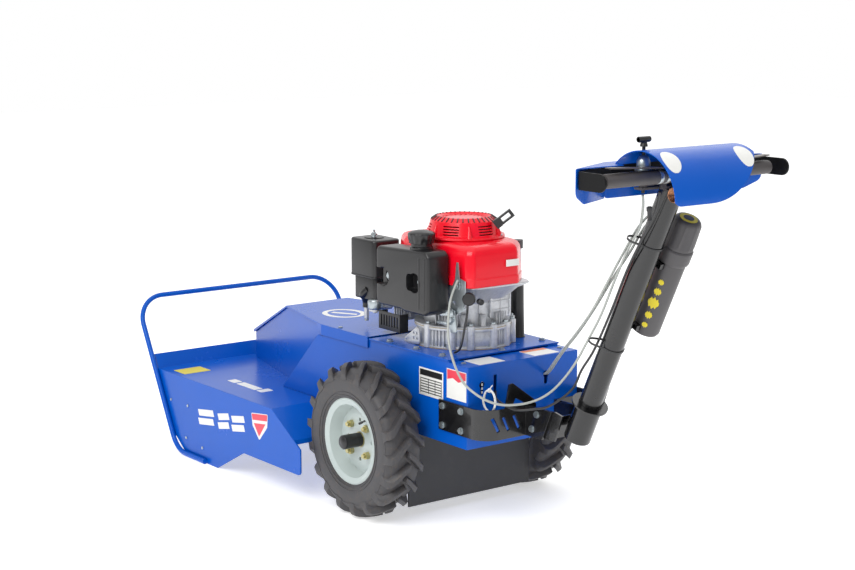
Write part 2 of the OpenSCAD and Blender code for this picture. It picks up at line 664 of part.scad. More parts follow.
// flat bar bent round the front and ends of the grips
module guard_bar(x1, y1, x2, y2, h) {
    l = norm([x2 - x1, y2 - y1]);
    translate([x1, y1, 0]) rotate([0, 0, atan2(y2 - y1, x2 - x1)]) translate([0, -2.5, 0]) cube([l, 5, h]);
}
module handle_guard() piece(black) translate([0, 0, grip_z - 20]) {
    bend_x = shield_back_x - 6;
    nose_x = shield_front_x - 10;
    for (side = [-1, 1]) {
        translate([bend_x, side * guard_arm_y + 2.5, 20]) rotate([90, 0, 0]) linear_extrude(5) {
            translate([-64, -20]) square([64, 40]);
            translate([-64, 0]) circle(20);
        }
        guard_bar(bend_x, side * guard_arm_y, nose_x, side * (shield_narrow - 10), 40);
    }
    guard_bar(nose_x, -shield_narrow + 10, nose_x, shield_narrow - 10, 40);
}
// sheet shield: flat front with a turned-down rim, and a hump that curves back over the middle of the bar
// t insets the outline, measured square to its front and to its chamfered corners
shield_turn = atan2(shield_wide - shield_narrow, shield_front_x - shield_back_x);
function shield_half(x, t) = shield_wide - (x - shield_back_x) * tan(shield_turn) - t / cos(shield_turn);
module shield_plan(t) polygon([
    [shield_back_x, shield_half(shield_back_x, t)], [shield_front_x - t, shield_half(shield_front_x - t, t)],
    [shield_front_x - t, -shield_half(shield_front_x - t, t)], [shield_back_x, -shield_half(shield_back_x, t)]
]);
module handle_shield() piece(blue) {
    hump_join_x = grip_x + sqrt(hump_r * hump_r - pow(shield_z - hump_z, 2));
    difference() {
        translate([0, 0, shield_z - 84]) linear_extrude(84 + shield_t) shield_plan(0);
        translate([0, 0, shield_z - 90]) linear_extrude(90) shield_plan(shield_t);
        translate([shield_back_x - 10, -400, shield_z - 90]) cube([10.5, 800, 90]);
        translate([shield_back_x - 100, -hump_w / 2 + 0.5, shield_z - 1])
            cube([hump_join_x - shield_back_x + 99, hump_w - 1, 20]);
    }
    difference() {
        translate([grip_x, 0, hump_z]) rotate([90, 0, 0]) difference() {
            cylinder(h = hump_w, r = hump_r + shield_t, center = true, $fn = 96);
            cylinder(h = hump_w + 2, r = hump_r, center = true, $fn = 96);
        }
        translate([grip_x - 200, -400, hump_z - 300]) cube([400, 800, 302]);
        translate([hump_join_x + 1, -400, hump_z - 10]) cube([200, 800, 200]);
        translate([grip_x - 200, 0, 0]) crosswise(0, 201)
            polygon([[57, hump_z - 5], [-92, hump_z + 78], [-140, hump_z + 100], [-hump_w / 2, hump_z + 104],
                [-hump_w / 2 - 10, hump_z - 10]]);
        translate([knob_x, knob_pos[1], hump_z]) cylinder(h = 200, r = knob_rod_r + 2);
    }
}
// a flat lever hinged near the middle, its outer end raised by lever_lift degrees when it is let go
module grip_lever(side) difference() {
    union() {
        translate([grip_x - 14, side * lever_hinge_y, grip_z + 26]) rotate([side * lever_lift, 0, 0])
            translate([1, side > 0 ? -4 : lever_hinge_y + 8 - grip_half, -8.5])
                cube([18, grip_half - 4 - lever_hinge_y, 3]);
        translate([grip_x - 14, side * lever_hinge_y, grip_z + 26]) rotate([0, 90, 0]) cylinder(h = 20, r = 9);
    }
    translate([grip_x - 30, side * lever_hinge_y, grip_z + 26]) rotate([0, 90, 0])
        cylinder(h = 60, r = lever_pin_r + run_gap);
}
module blade_lever() piece(grey) grip_lever(1);
module drive_lever() piece(grey) grip_lever(-1);
module throttle_knob() piece(black) translate([knob_x, knob_pos[1], 0]) {
    translate([0, 0, grip_z - 38]) cylinder(h = 110, r = knob_rod_r);
    translate([0, 0, grip_z + 70]) cylinder(h = 8, r1 = 6, r2 = 8, $fn = 40);
    translate([0, 0, grip_z + 82]) rotate([90, 0, 0]) cylinder(h = 34, r = 6.5, center = true);
}
// coil that returns the levers, lying across the mast's top
module lever_spring() piece([0.72, 0.42, 0.22]) translate([grip_x - 2, 0, grip_z - 44])
    for (i = [-2:2]) translate([0, 40 + i * 4.2, 0]) rotate([90, 0, 0])
        rotate_extrude($fn = 32) translate([16, 0]) circle(1.9, $fn = 16);

// ---- document tube ----
module on_document(along) on_mast(document_low_l + along) translate([-document_back, document_side, 0]) children();
module document_tube() piece(grey) on_document(0) difference() {
    union() {
        cylinder(h = document_l, r = document_r);
        translate([0, 0, document_l - 38]) cylinder(h = 30, r = document_r + 6);
    }
    translate([0, 0, 6]) cylinder(h = document_l, r = document_r - 4);
}
module document_cap() piece(grey) on_document(document_l - 7.5) difference() {
    union() {
        cylinder(h = document_cap_l, r1 = document_r + 3, r2 = document_r - 4, $fn = 64);
    }
    translate([0, 0, -1]) cylinder(h = 8.5 + pass_gap, r = document_r + pass_gap);
    cylinder(h = document_cap_l - 6, r = document_r - 10);
}
module document_clamps() piece(black) for (along = [14, document_l - 62]) on_document(along) {
    translate([-12, document_r + 0.3, 0]) cube([24, 12.9, 14]);
    translate([12, document_r + 6.5, 7]) rotate([0, 90, 0]) bolt(3.5, 5);
}
// ---- cables ----
cable_r = 3;
throttle_route = [[-861, 112, 918], [-850, 100, 890], [-800, 60, 835], [-745, 40, 780], [-700, 39, 700],
    [-655, 39, 610], [-610, 39, 540], [-560, 42, 465], [-500, 48, 400], [-455, 66, 366], [-430, 110, 356],
    [-410, 160, 362], [-375, 195, 385], [-325, 205, 420], [-280, 205, 500], [-245, 175, 590], [-222, 132, 642]];
blade_route = [[-880, 78, 925], [-850, 66, 870], [-790, 46, 800], [-728, 30, 720], [-680, 31, 620],
    [-625, 31, 520], [-580, 31, 460], [-545, 30, 405], [-500, 60, 360], [-460, 76, 346], [-425, 100, 340],
    [-412, 122, 349], [-385, 128, 358], [-360, 118, 362], [-342, 104, 366], [-331, 95, 368]];
drive_route_a = [[-318, -78, 390], [-345, -72, 400], [-440, -30, 470], [-540, 5, 545], [-620, 26, 620],
    [-684, 31, 700], [-722, 14, 765], [-758, -6, 835], [-800, -50, 893], [-850, -90, 925]];
drive_route_b = [[-318, -70, 390], [-345, -64, 400], [-440, -20, 466], [-540, 16, 540], [-620, 37, 612],
    [-676, 40, 690], [-716, 28, 765], [-754, 8, 838], [-800, -30, 890], [-850, -70, 925]];
module throttle_cable() piece(zinc) cable(throttle_route, cable_r);
module blade_cable() piece(black) cable(blade_route, 3.5);
module drive_cables() piece(grey) {
    cable(drive_route_a, cable_r);
    cable(drive_route_b, cable_r);
}
// band round the mast and its cables
module cable_ties() piece(black) for (along = [250, 540]) on_mast(along) linear_extrude(5) difference() {
    tie_outline(2.2);
    tie_outline(0.4);
}
module tie_outline(grow) union() {
    circle(mast_r + grow);
    hull() {
        circle(mast_r + grow - 4);
        translate([26, 34]) circle(14 + grow);
    }
}

// ---- engine ----
module crankcase() piece(cast) translate([engine_x, 0, engine_plate_z]) difference() {
    union() {
        cylinder(h = 54, r = crankcase_r);
        translate([0, 0, 54]) cylinder(h = 3, r = crankcase_r + 3);
        translate([0, 0, 57]) cylinder(h = crankcase_top_z - engine_plate_z - 57, r = crankcase_r - 14);
        for (a = [0:12:348]) rotate([0, 0, a]) translate([crankcase_r - 8, -2, 4]) cube([14, 4, 44]);
        translate([40, -78, 40]) cube([110, 156, 96]);
        for (a = [45:90:315]) rotate([0, 0, a]) translate([crankcase_r + 6, 0, 0]) cylinder(h = 50, r = 13);
        translate([filler_pos[0] - engine_x, filler_pos[1], 0]) cylinder(h = 44, r = 21);
    }
    translate([0, 0, -1]) cylinder(h = 400, r = crank_r + run_gap);
    translate([filler_pos[0] - engine_x, filler_pos[1], 1]) cylinder(h = 50, r = 14);
}
module cylinder_head() piece(cast) translate([engine_x + 150.2, 0, 0]) {
    translate([0, -62, 494]) cube([66, 124, 86]);
    for (i = [0:4]) translate([8 + i * 11, -78, 486]) cube([4, 156, 96]);
}
module cylinder_baffle() piece(black) difference() {
    translate([34, 98, 464]) cube([96, 28, 48]);
    translate([38, 90, 470]) cube([88, 32, 60]);
    for (i = [0:6]) translate([42 + i * 12, 90, 474]) cube([6, 40, 30]);
}
module shroud_plan(inset) polygon([
    [-252 + inset, -45], [-200, -100 + inset], [-120, -118 + inset], [60, -118 + inset], [128 - inset, -92],
    [128 - inset, 60], [60, 100 - inset], [-20, 117 - inset], [-236, 117 - inset], [-252 + inset, 104]
]);
module fan_shroud() piece(red) difference() {
    union() {
        translate([0, 0, crankcase_top_z + 0.1]) linear_extrude(shroud_top_z - crankcase_top_z - 8) shroud_plan(0);
        translate([0, 0, shroud_top_z - 8.1]) linear_extrude(8) shroud_plan(5);
    }
    translate([0, 0, crankcase_top_z - 4]) linear_extrude(shroud_top_z - crankcase_top_z) shroud_plan(4);
    translate([engine_x, 0, 600]) cylinder(h = 300, r = 98);
}
module recoil_housing() piece(red) translate([engine_x, 0, shroud_top_z]) difference() {
    rotate_extrude($fn = 96) polygon([
        [0, 50], [66, 50], [74, starter_top_z - shroud_top_z - 2], [88, starter_top_z - shroud_top_z - 12], [97, 10],
        [107, 7], [107, 0], [93, 0], [84, 41], [66, 44], [0, 44]
    ]);
    for (a = [0:60:300], k = [0:3]) rotate([0, 0, a]) translate([72, -22, 12 + k * 7]) cube([60, 44, 3]);
    translate([0, 0, 30]) for (a = [0:15:345]) rotate([0, 0, a]) translate([46, -2.5, 0]) cube([16, 5, 40]);
}
module crankshaft() piece(zinc) translate([engine_x, 0, 0]) {
    translate([0, 0, drive_belt_z - 20]) cylinder(h = crankcase_top_z + 70 - drive_belt_z, r = crank_r);
    difference() {
        translate([0, 0, crankcase_top_z + 14]) cylinder(h = 22, r = 92);
        translate([0, 0, crankcase_top_z + 26]) ring(84, 40, 20);
    }
    for (a = [0:30:330]) rotate([0, 0, a]) translate([56, -1.5, crankcase_top_z + 30]) cube([34, 3, 48]);
}
module engine_pulley() piece(grey) translate([engine_x, 0, 0]) {
    translate([0, 0, blade_belt_z]) v_pulley(engine_pulley_r, belt_w + 5, crank_r);
    translate([0, 0, drive_belt_z]) v_pulley(drive_pulley_r, belt_w + 5, crank_r);
    translate([0, 0, drive_belt_z + 8]) ring(crank_r + 8, crank_r, blade_belt_z - drive_belt_z - 16);
}
// grip on the starter's cord, lying on the housing's rear rim
module starter_aim() translate(starter_grip_pos) rotate([0, 0, -127]) rotate([0, 52, 0]) children();
module starter_grip() piece(black) starter_aim() difference() {
    translate([0, 0, 32]) rotate([90, 0, 0]) translate([0, 0, -8]) linear_extrude(16) union() {
        translate([-11, -31]) square([22, 56]);
        translate([-12, -31]) square([24, 16]);
    }
    translate([0, 0, 32]) rotate([90, 0, 0]) translate([0, 0, -20]) linear_extrude(40) translate([-6, -9]) square([12, 26]);
}
module tank_body(shrink, r) translate([(tank_back_x + tank_front_x) / 2, (tank_in_y + tank_out_y) / 2, 0])
    rounded_rect(tank_front_x - tank_back_x - 2 * shrink, tank_out_y - tank_in_y - 2 * shrink, r);
module fuel_tank() piece(black) {
    difference() {
        translate([0, 0, tank_low_z]) linear_extrude(tank_top_z - tank_low_z) tank_body(0, 22);
        translate([0, 0, tank_low_z + 5]) linear_extrude(tank_top_z - tank_low_z - 10) tank_body(5, 18);
        for (x = [-106, 26]) translate([x, tank_out_y - 20, 625]) rotate([-90, 0, 0]) cylinder(h = 30, r = 24);
        translate([tank_neck_pos[0], tank_neck_pos[1], tank_top_z - 10]) cylinder(h = 40, r = tank_neck_r - 4);
    }
    for (x = [-106, 26]) translate([x, tank_out_y - 22, 625]) rotate([-90, 0, 0]) cylinder(h = 2, r = 25);
    translate([tank_neck_pos[0], tank_neck_pos[1], tank_top_z - 0.5]) ring(tank_neck_r, tank_neck_r - 4, 12.5);
}
module fuel_cap() piece(black) translate([tank_neck_pos[0], tank_neck_pos[1], tank_top_z + pass_gap]) difference() {
    union() {
        cylinder(h = 32, r = tank_cap_r - 3);
        translate([0, 0, 24]) cylinder(h = 16, r = tank_cap_r);
        translate([0, 0, 40]) cylinder(h = 8, r1 = tank_cap_r, r2 = tank_cap_r - 12, $fn = 64);
    }
    translate([0, 0, -1]) cylinder(h = 14 + pass_gap, r = tank_neck_r + pass_gap);
}
module air_cleaner() piece(black) {
    middle_x = (air_back_x + air_front_x) / 2;
    l = air_front_x - air_back_x;
    translate([middle_x, air_out_y - air_t / 2, 0]) {
        translate([0, 0, 575]) rounded_box([l, air_t, 114], 14);
        translate([0, 0, 689]) rounded_box([l - 10, air_t - 10, 9], 12);
        translate([-12, 0, 530]) rounded_box([l - 26, air_t - 8, 45.5], 12);
        translate([6, 0, 697.5]) cylinder(h = 16, r = 4);
        translate([6, 0, 698]) cylinder(h = 6, r = 9, $fn = 6);
    }
}
module carburettor() piece(cast) {
    translate([165, 112, 504]) cylinder(h = 25.9, r = 18);
    translate([165, 112, 498]) cylinder(h = 7, r = 7, $fn = 6);
    translate([218, 104, 474]) cylinder(h = 55.9, r = 7);
    translate([165, 60, 512]) rotate([-90, 0, 0]) cylinder(h = 40, r = 9);
}
module muffler() piece(black) {
    translate([20, -190, 505]) cube([120, 54, 92]);
    translate([150, -160, 540]) rotate([0, 90, 0]) translate([0, 0, -11]) cylinder(h = 46, r = 14);
    translate([90, -137, 550]) rotate([-90, 0, 0]) cylinder(h = 58.5, r = 13);
}
module oil_filler() piece(black) translate(filler_pos) difference() {
    union() {
        translate([0, 0, engine_plate_z + 1]) cylinder(h = 70, r = 14);
        translate([0, 0, 518]) cylinder(h = 170, r = 10);
    }
    translate([0, 0, 500]) cylinder(h = 300, r = 7);
}
module dipstick() piece(grey) translate(filler_pos) {
    translate([0, 0, 688 + pass_gap]) cylinder(h = 22, r = 14);
    translate([0, 0, 520]) cylinder(h = 170, r = 2.5);
}
module throttle_bracket() piece(zinc) {
    difference() {
        upright(120, 123) polygon([[-240, 600], [-232, 562], [-182, 540], [-182, 612], [-205, 648], [-240, 640]]);
        upright(110, 130) translate([-196, 580]) circle(6);
    }
    translate([-222, 104, 562]) cube([38, 17, 4]);
    translate([throttle_pivot[0], 122, throttle_pivot[2]]) rotate([-90, 0, 0]) cylinder(h = 8, r = 4);
    translate([throttle_pivot[0], 128, throttle_pivot[2]]) rotate([-90, 0, 0]) cylinder(h = 4, r = 7, $fn = 6);
}
module throttle_lever() piece(zinc) difference() {
    upright(throttle_pivot[1], throttle_pivot[1] + 3) union() {
        polygon([[throttle_pivot[0] - 10, throttle_pivot[2] + 2], [throttle_pivot[0] - 3, throttle_pivot[2] + 60],
            [throttle_pivot[0] + 3, throttle_pivot[2] + 60], [throttle_pivot[0] + 10, throttle_pivot[2] + 2]]);
        translate([throttle_pivot[0], throttle_pivot[2]]) circle(12);
    }
    translate([throttle_pivot[0], 100, throttle_pivot[2]]) rotate([-90, 0, 0]) cylinder(h = 60, r = 4 + run_gap);
}

// ---- fasteners ----
module frame_bolts() piece(zinc) {
    for (side = [-1, 1]) {
        for (x = [-231, -307], z = [guard_low_z + 13, guard_low_z + guard_h - 15])
            translate([x, side * (chassis_half + guard_t), z]) rotate([-90 * side, 0, 0]) bolt(4, 6);
        for (x = [-205, -95, 23]) translate([x, side * (chassis_half - 15), engine_plate_z]) bolt(4, 6);
        translate([-283, side * (chassis_half - 22), rear_lid_z]) bolt(3, 3);
        translate([246, side * (chassis_half - 10), hood_top_z]) bolt(3, 3);
        for (p = [[884, 153], [784, 153], [797, 53], [703, 42]])
            translate([p[0], side * deck_half, p[1]]) rotate([-90 * side, 0, 0]) cylinder(h = 2, r = 4);
        for (p = [[-440, 324], [-422, 284]])
            translate([p[0], side * 51.5, p[1]]) rotate([-90 * side, 0, 0]) bolt(4, 6);
    }
    translate([plate_rear_x + 12, 0, engine_plate_z]) bolt(4, 6);
}

main_frame();
engine_plate();
rear_cover();
belt_hood();
belt_tunnel();
cutting_deck();
brush_bar();
flap_bracket();
rear_flap();
rear_guard();
mast_socket();
mast_tube();
handlebar();
handle_guard();
handle_shield();
lever_spring();
document_tube();
document_clamps();
throttle_cable();
blade_cable();
drive_cables();
cable_ties();
frame_bolts();
crankcase();
cylinder_head();
cylinder_baffle();
fan_shroud();
recoil_housing();
fuel_tank();
air_cleaner();
carburettor();
muffler();
oil_filler();
throttle_bracket();
spindle_housing();
blade_belt();
drive_belt();
transaxle();
axle_left();
hub_left();
rim_left();
tyre_left();
axle_right();
hub_right();
rim_right();
tyre_right();
crankshaft();
engine_pulley();
blade_spindle();
cutter_blade();
transaxle_pulley();
idler_arm();
blade_lever();
drive_lever();
throttle_knob();
throttle_lever();
starter_grip();
fuel_cap();
document_cap();
dipstick();
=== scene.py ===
"""Walk-behind brush mower: the visual model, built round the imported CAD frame. For Blender 4.5."""

from math import acos, atan, atan2, cos, degrees, hypot, pi, radians, sin, tan

import bmesh
import bpy
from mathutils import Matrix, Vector


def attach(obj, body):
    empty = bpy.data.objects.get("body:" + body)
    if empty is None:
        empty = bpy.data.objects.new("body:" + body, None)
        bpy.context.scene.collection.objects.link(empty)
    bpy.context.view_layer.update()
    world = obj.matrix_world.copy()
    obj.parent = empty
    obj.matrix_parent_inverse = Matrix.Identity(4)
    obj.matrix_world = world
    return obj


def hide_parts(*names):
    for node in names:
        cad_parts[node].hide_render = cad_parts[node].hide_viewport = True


bl_info = {
    "name": "Brush mower",
    "version": (1, 0, 0),
    "blender": (4, 5, 0),
    "location": "3D View > Sidebar > Brush mower",
    "description": "Builds the pieces and finishes of a walk-behind brush mower round its CAD frame",
    "category": "Object",
}

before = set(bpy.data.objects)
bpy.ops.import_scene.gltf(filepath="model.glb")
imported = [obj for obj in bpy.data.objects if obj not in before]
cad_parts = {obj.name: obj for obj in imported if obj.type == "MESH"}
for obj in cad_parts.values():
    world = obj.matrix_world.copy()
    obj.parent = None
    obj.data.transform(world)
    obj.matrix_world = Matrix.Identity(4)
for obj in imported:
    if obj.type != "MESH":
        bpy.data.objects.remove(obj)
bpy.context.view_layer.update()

# Drawings below are in millimetres from the point on the ground under the wheel axle;
# the CAD frame's origin lies this far in front of that point.
ORIGIN_X = 39.0
MM = 0.001


def place_point(x, y, z):
    return Vector(((x - ORIGIN_X) * MM, y * MM, z * MM))


# ---- colours and finishes ----
def linear(hex_colour):
    """Turns an sRGB hex colour to the linear values that shaders take."""
    channels = [int(hex_colour[i:i + 2], 16) / 255 for i in (1, 3, 5)]
    return tuple(c / 12.92 if c <= 0.04045 else ((c + 0.055) / 1.055) ** 2.4 for c in channels)


def tint(name, words, hex_colour):
    return bpy.props.FloatVectorProperty(name=name, description=words, subtype="COLOR", size=3, min=0, max=1,
                                         default=linear(hex_colour))


def length(name, words, default, low, high):
    return bpy.props.FloatProperty(name=name, description=words, default=default, min=low, max=high)


class MowerColours(bpy.types.PropertyGroup):
    """Colours that a repaint would change."""
    powder: tint("Powder coat", "Deck, chassis, bar and shield", "#0057bf")
    shroud: tint("Shroud", "Engine shroud and starter housing", "#ee0824")
    enamel: tint("Enamel", "Mast, guard and socket", "#0f0f11")
    moulded: tint("Moulded plastic", "Tank, air cleaner and caps", "#1b1b1d")
    canister: tint("Document tube", "Tube and its cap", "#4c4a4c")
    rim: tint("Wheel rims", "Enamel of the rims", "#b6c1bf")
    rubber: tint("Tyres", "Tyre rubber", "#434245")


class MowerSizes(bpy.types.PropertyGroup):
    """Sizes of the visible detail, in millimetres."""
    lug_width: length("Lug width", "Width of a tread lug in mm", 20.0, 14, 26)
    lug_rise: length("Lug rise", "Height of a tread lug in mm", 16.0, 10, 20)
    cable_width: length("Cable width", "Diameter of a control cable in mm", 6.0, 4, 8)
    edge: length("Edge", "Rounding of a folded sheet's edge in mm", 1.6, 0.5, 4)
    lugs: bpy.props.IntProperty(name="Lugs", description="Lugs on each side of a tyre", default=18, min=12, max=24)


def add_node(tree, kind, values=None, links=None, **settings):
    """Adds one node: settings are its options, values its plain inputs, links its inputs from sockets."""
    made = tree.nodes.new("ShaderNode" + kind)
    for key, value in settings.items():
        setattr(made, key, value)
    for key, value in (values or {}).items():
        made.inputs[key].default_value = value
    for key, source in (links or {}).items():
        tree.links.new(source, made.inputs[key])
    return made


# sockets of a colour mix: the two colours it takes and the one it gives
MIX_A, MIX_B, MIX_OUT = 6, 7, 2
SPOT_SHARE = 0.45  # size of a dirt spot, as a share of the colour's drift
SMOOTHEST = 0.02  # lowest roughness of a finish
COAT_ROUGHNESS = 0.04


def finish(name, colour, rough, metallic=0.0, coat=0.0, shade=0.85, patch=60.0, grain=1.2, depth=0.02, spread=0.08,
           dirt=None, dirt_amount=0.0, edge=0.0, shine=0.5):
    """A surface whose colour drifts over `patch` mm between two tones, with a grain of `grain` mm raised
    `depth` mm, and dirt or dust that gathers in cloudy spots."""
    made = bpy.data.materials.new(name)
    made.use_nodes = True
    tree = made.node_tree
    tree.nodes.clear()
    where = add_node(tree, "TexCoord").outputs["Object"]
    cloud = add_node(tree, "TexNoise", {"Scale": 1 / (patch * MM), "Detail": 4.0, "Roughness": 0.6},
                     {"Vector": where})
    tone = add_node(tree, "Mix", {MIX_A: (*[c * shade for c in colour], 1), MIX_B: (*colour, 1)},
                    {"Factor": cloud.outputs["Fac"]}, data_type="RGBA")
    colour_out = tone.outputs[MIX_OUT]
    if dirt:
        spots = add_node(tree, "TexNoise", {"Scale": 1 / (patch * SPOT_SHARE * MM), "Detail": 6.0,
                                                      "Roughness": 0.7}, {"Vector": where})
        spread_out = add_node(tree, "MapRange", {"From Min": 0.5, "From Max": 0.75, "To Min": 0.0,
                                                           "To Max": dirt_amount}, {"Value": spots.outputs["Fac"]})
        dusty = add_node(tree, "Mix", {MIX_B: (*linear(dirt), 1)},
                         {"Factor": spread_out.outputs["Result"], MIX_A: colour_out}, data_type="RGBA")
        colour_out = dusty.outputs[MIX_OUT]
    grains = add_node(tree, "TexNoise", {"Scale": 1 / (grain * MM), "Detail": 3.0}, {"Vector": where})
    gloss = add_node(tree, "MapRange", {"To Min": max(SMOOTHEST, rough - spread), "To Max": rough + spread},
                     {"Value": cloud.outputs["Fac"]})
    bump = add_node(tree, "Bump", {"Strength": 0.6, "Distance": depth * MM},
                    {"Height": grains.outputs["Fac"]})
    if edge:
        soft = add_node(tree, "Bevel", {"Radius": edge * MM}, samples=6)
        tree.links.new(soft.outputs["Normal"], bump.inputs["Normal"])
    shader = add_node(tree, "BsdfPrincipled", {"Metallic": metallic, "Coat Weight": coat,
                                               "Coat Roughness": COAT_ROUGHNESS, "Specular IOR Level": shine},
                      {"Base Color": colour_out, "Roughness": gloss.outputs["Result"],
                       "Normal": bump.outputs["Normal"]})
    add_node(tree, "OutputMaterial", links={"Surface": shader.outputs["BSDF"]})
    return made


FINISHES = {}


def mix_finishes(colours, sizes):
    soft = sizes.edge

    def mix(name, *plain, **named):
        FINISHES[name] = finish(name, *plain, **named)

    # baked polyester powder coat: even semi-gloss with a faint orange-peel of about 2 mm
    mix("powder_coat", colours.powder, 0.26, coat=0.05, shine=0.22, shade=0.86, patch=140, grain=2.4, spread=0.05,
        edge=soft)
    # stove enamel on pressed steel: harder and glossier than the powder coat
    mix("shroud_enamel", colours.shroud, 0.25, coat=0.2, shine=0.35, shade=0.9, patch=90, grain=2.2, spread=0.05,
        edge=soft)
    # black enamel on welded steel: glossy, with a few scuffs
    mix("black_enamel", colours.enamel, 0.24, coat=0.35, shade=0.7, patch=70, grain=1.6, spread=0.1,
        dirt="#222224", dirt_amount=0.4, edge=soft)
    # matt black enamel on the hand guard's flat bar, darker than the other black enamel: part of that darkness is
    # painted shade standing in for the shade inside the bar's open ends, so its ends read as the darkest part
    mix("guard_enamel_painted_shade", linear("#08080a"), 0.5, shine=0.2, shade=0.8, patch=50, grain=1.4, spread=0.06,
        edge=soft)
    # fabric-faced rubber sheet: dull, with a fine cloth grain
    mix("belting", linear("#39393b"), 0.62, patch=120, depth=0.12, dirt="#4a4846", dirt_amount=0.3, edge=soft)
    # vulcanised tyre rubber: satin, with dust on the worn faces
    mix("tyre_rubber", colours.rubber, 0.5, shade=0.7, patch=28, grain=1.5, depth=0.1, spread=0.14,
        dirt="#6b5a48", dirt_amount=0.32, edge=0.8)
    # pale enamel on a pressed rim
    mix("rim_enamel", colours.rim, 0.38, coat=0.2, shade=0.93, patch=50, grain=1.8, edge=1.0)
    # zinc plated steel: bluish bright metal
    mix("zinc_plate", linear("#b9c2c6"), 0.32, metallic=0.9, shade=0.75, patch=9, grain=0.9, depth=0.03,
        spread=0.1)
    # yellow chromated zinc
    mix("yellow_zinc", linear("#c9bd84"), 0.34, metallic=0.8, shade=0.7, patch=12, grain=0.9, depth=0.03,
        spread=0.1, dirt="#9fae9a", dirt_amount=0.6)
    # fine-textured rubber sleeve over the bar
    mix("grip_foam", linear("#4a4646"), 0.55, shade=0.8, patch=14, grain=1.1, depth=0.2)
    # satin brown-grey paint on a thin lever
    mix("lever_paint", linear("#57504c"), 0.36, coat=0.2, shade=0.8, patch=30)
    # drawn copper-coloured spring wire
    mix("copper_wire", linear("#c08a66"), 0.3, metallic=0.9, shade=0.75, patch=8, grain=0.8)
    # moulded ABS with a fine spark-eroded grain
    mix("grey_abs", colours.canister, 0.48, shade=0.88, patch=60, grain=1.1, depth=0.07, spread=0.07)
    # blow-moulded and injection-moulded black plastic: satin, soft highlights
    mix("moulded_black", colours.moulded, 0.33, shine=0.55, patch=50, grain=1.4, depth=0.04, spread=0.06,
        edge=1.0)
    # die-cast and shot-blasted aluminium: bright, matt, with a sandy skin
    mix("sand_cast", linear("#d9dbde"), 0.4, metallic=0.6, shade=0.72, patch=18, grain=1.6, depth=0.16,
        spread=0.12, dirt="#8b8d90", dirt_amount=0.5, edge=1.0)
    # dark machined steel, lightly oiled
    mix("oiled_steel", linear("#2c2c2e"), 0.38, metallic=0.5, shade=0.7, patch=20, depth=0.03, spread=0.1)
    # PVC cable jackets
    for name, tone, shade in (("cable_grey", "#a9ada8", 0.85), ("cable_black", "#2a2a2c", 0.8)):
        mix(name, linear(tone), 0.35, shade=shade, patch=30, grain=1.0, spread=0.06)
    # pressed fibre gasket, tan at its edge
    mix("gasket_paper", linear("#b09a72"), 0.7, shade=0.8, patch=10, grain=0.8)
    # printed vinyl labels: flat colour under a smooth film
    for name, tone, rough, shade, patch in (
            ("vinyl_white", "#e6e6e2", 0.3, 0.94, 14), ("vinyl_yellow", "#e0cc10", 0.35, 0.9, 10),
            ("vinyl_red", "#e23a4e", 0.3, 0.92, 10), ("vinyl_orange", "#f08a48", 0.3, 0.92, 10),
            ("vinyl_black", "#1c1c1e", 0.3, 0.9, 10)):
        mix(name, linear(tone), rough, shade=shade, patch=patch, grain=1.0, depth=0.01, spread=0.05)


# CAD nodes that keep their own shape, by finish
KEPT_NODES = {
    "powder_coat": ["main_frame", "engine_plate", "rear_cover", "belt_hood", "belt_tunnel", "cutting_deck",
                    "brush_bar"],
    "black_enamel": ["flap_bracket", "rear_guard", "mast_socket", "mast_tube", "document_clamps"],
    # the hand guard's finish is darkened with painted shade for the shade in its open ends
    "guard_enamel_painted_shade": ["handle_guard"],
    "belting": ["rear_flap", "blade_belt", "drive_belt"],
    "rim_enamel": ["rim_left", "rim_right"],
    "zinc_plate": ["frame_bolts", "throttle_bracket", "throttle_lever", "idler_arm", "blade_spindle", "crankshaft"],
    "yellow_zinc": ["hub_left", "hub_right"],
    "grip_foam": ["handlebar"],
    "lever_paint": ["blade_lever", "drive_lever"],
    "copper_wire": ["lever_spring"],
    "grey_abs": ["dipstick"],
    "moulded_black": ["cylinder_baffle", "starter_grip", "throttle_knob"],
    "sand_cast": ["cylinder_head", "carburettor", "spindle_housing", "transaxle", "oil_filler"],
    "shroud_enamel": ["recoil_housing"],
    "oiled_steel": ["muffler", "axle_left", "axle_right", "engine_pulley", "transaxle_pulley", "cutter_blade"],
    "cable_black": ["cable_ties"],
}


# ---- shapes ----
PLANES = {"xy": lambda a, b, h: (a, b, h), "xz": lambda a, b, h: (a, h, b), "yz": lambda a, b, h: (h, a, b)}
DIE_SMALL = 0.05  # a turned profile that ends on its axis stops this short of it
ROUND_ABOVE = 28  # edges that turn by more degrees than this are rounded


def rounded(points, radius, steps=5):
    """Rounds the corners of an outline; radius is one number or one for each corner."""
    made = []
    for i, corner in enumerate(points):
        r = radius[i] if isinstance(radius, (list, tuple)) else radius
        here = Vector(corner)
        before, after = Vector(points[i - 1]) - here, Vector(points[(i + 1) % len(points)]) - here
        turn = before.angle(after)
        reach = min(r / tan(turn / 2), before.length * 0.49, after.length * 0.49)
        if reach < 0.05:
            made.append(tuple(here))
            continue
        start, end = here + before.normalized() * reach, here + after.normalized() * reach
        for k in range(steps + 1):
            t = k / steps
            made.append(tuple((1 - t) ** 2 * start + 2 * t * (1 - t) * here + t * t * end))
    return made


def rectangle(x0, y0, x1, y1):
    return [(x0, y0), (x1, y0), (x1, y1), (x0, y1)]


def level(outline, z):
    return [(x, y, z) for x, y in outline]


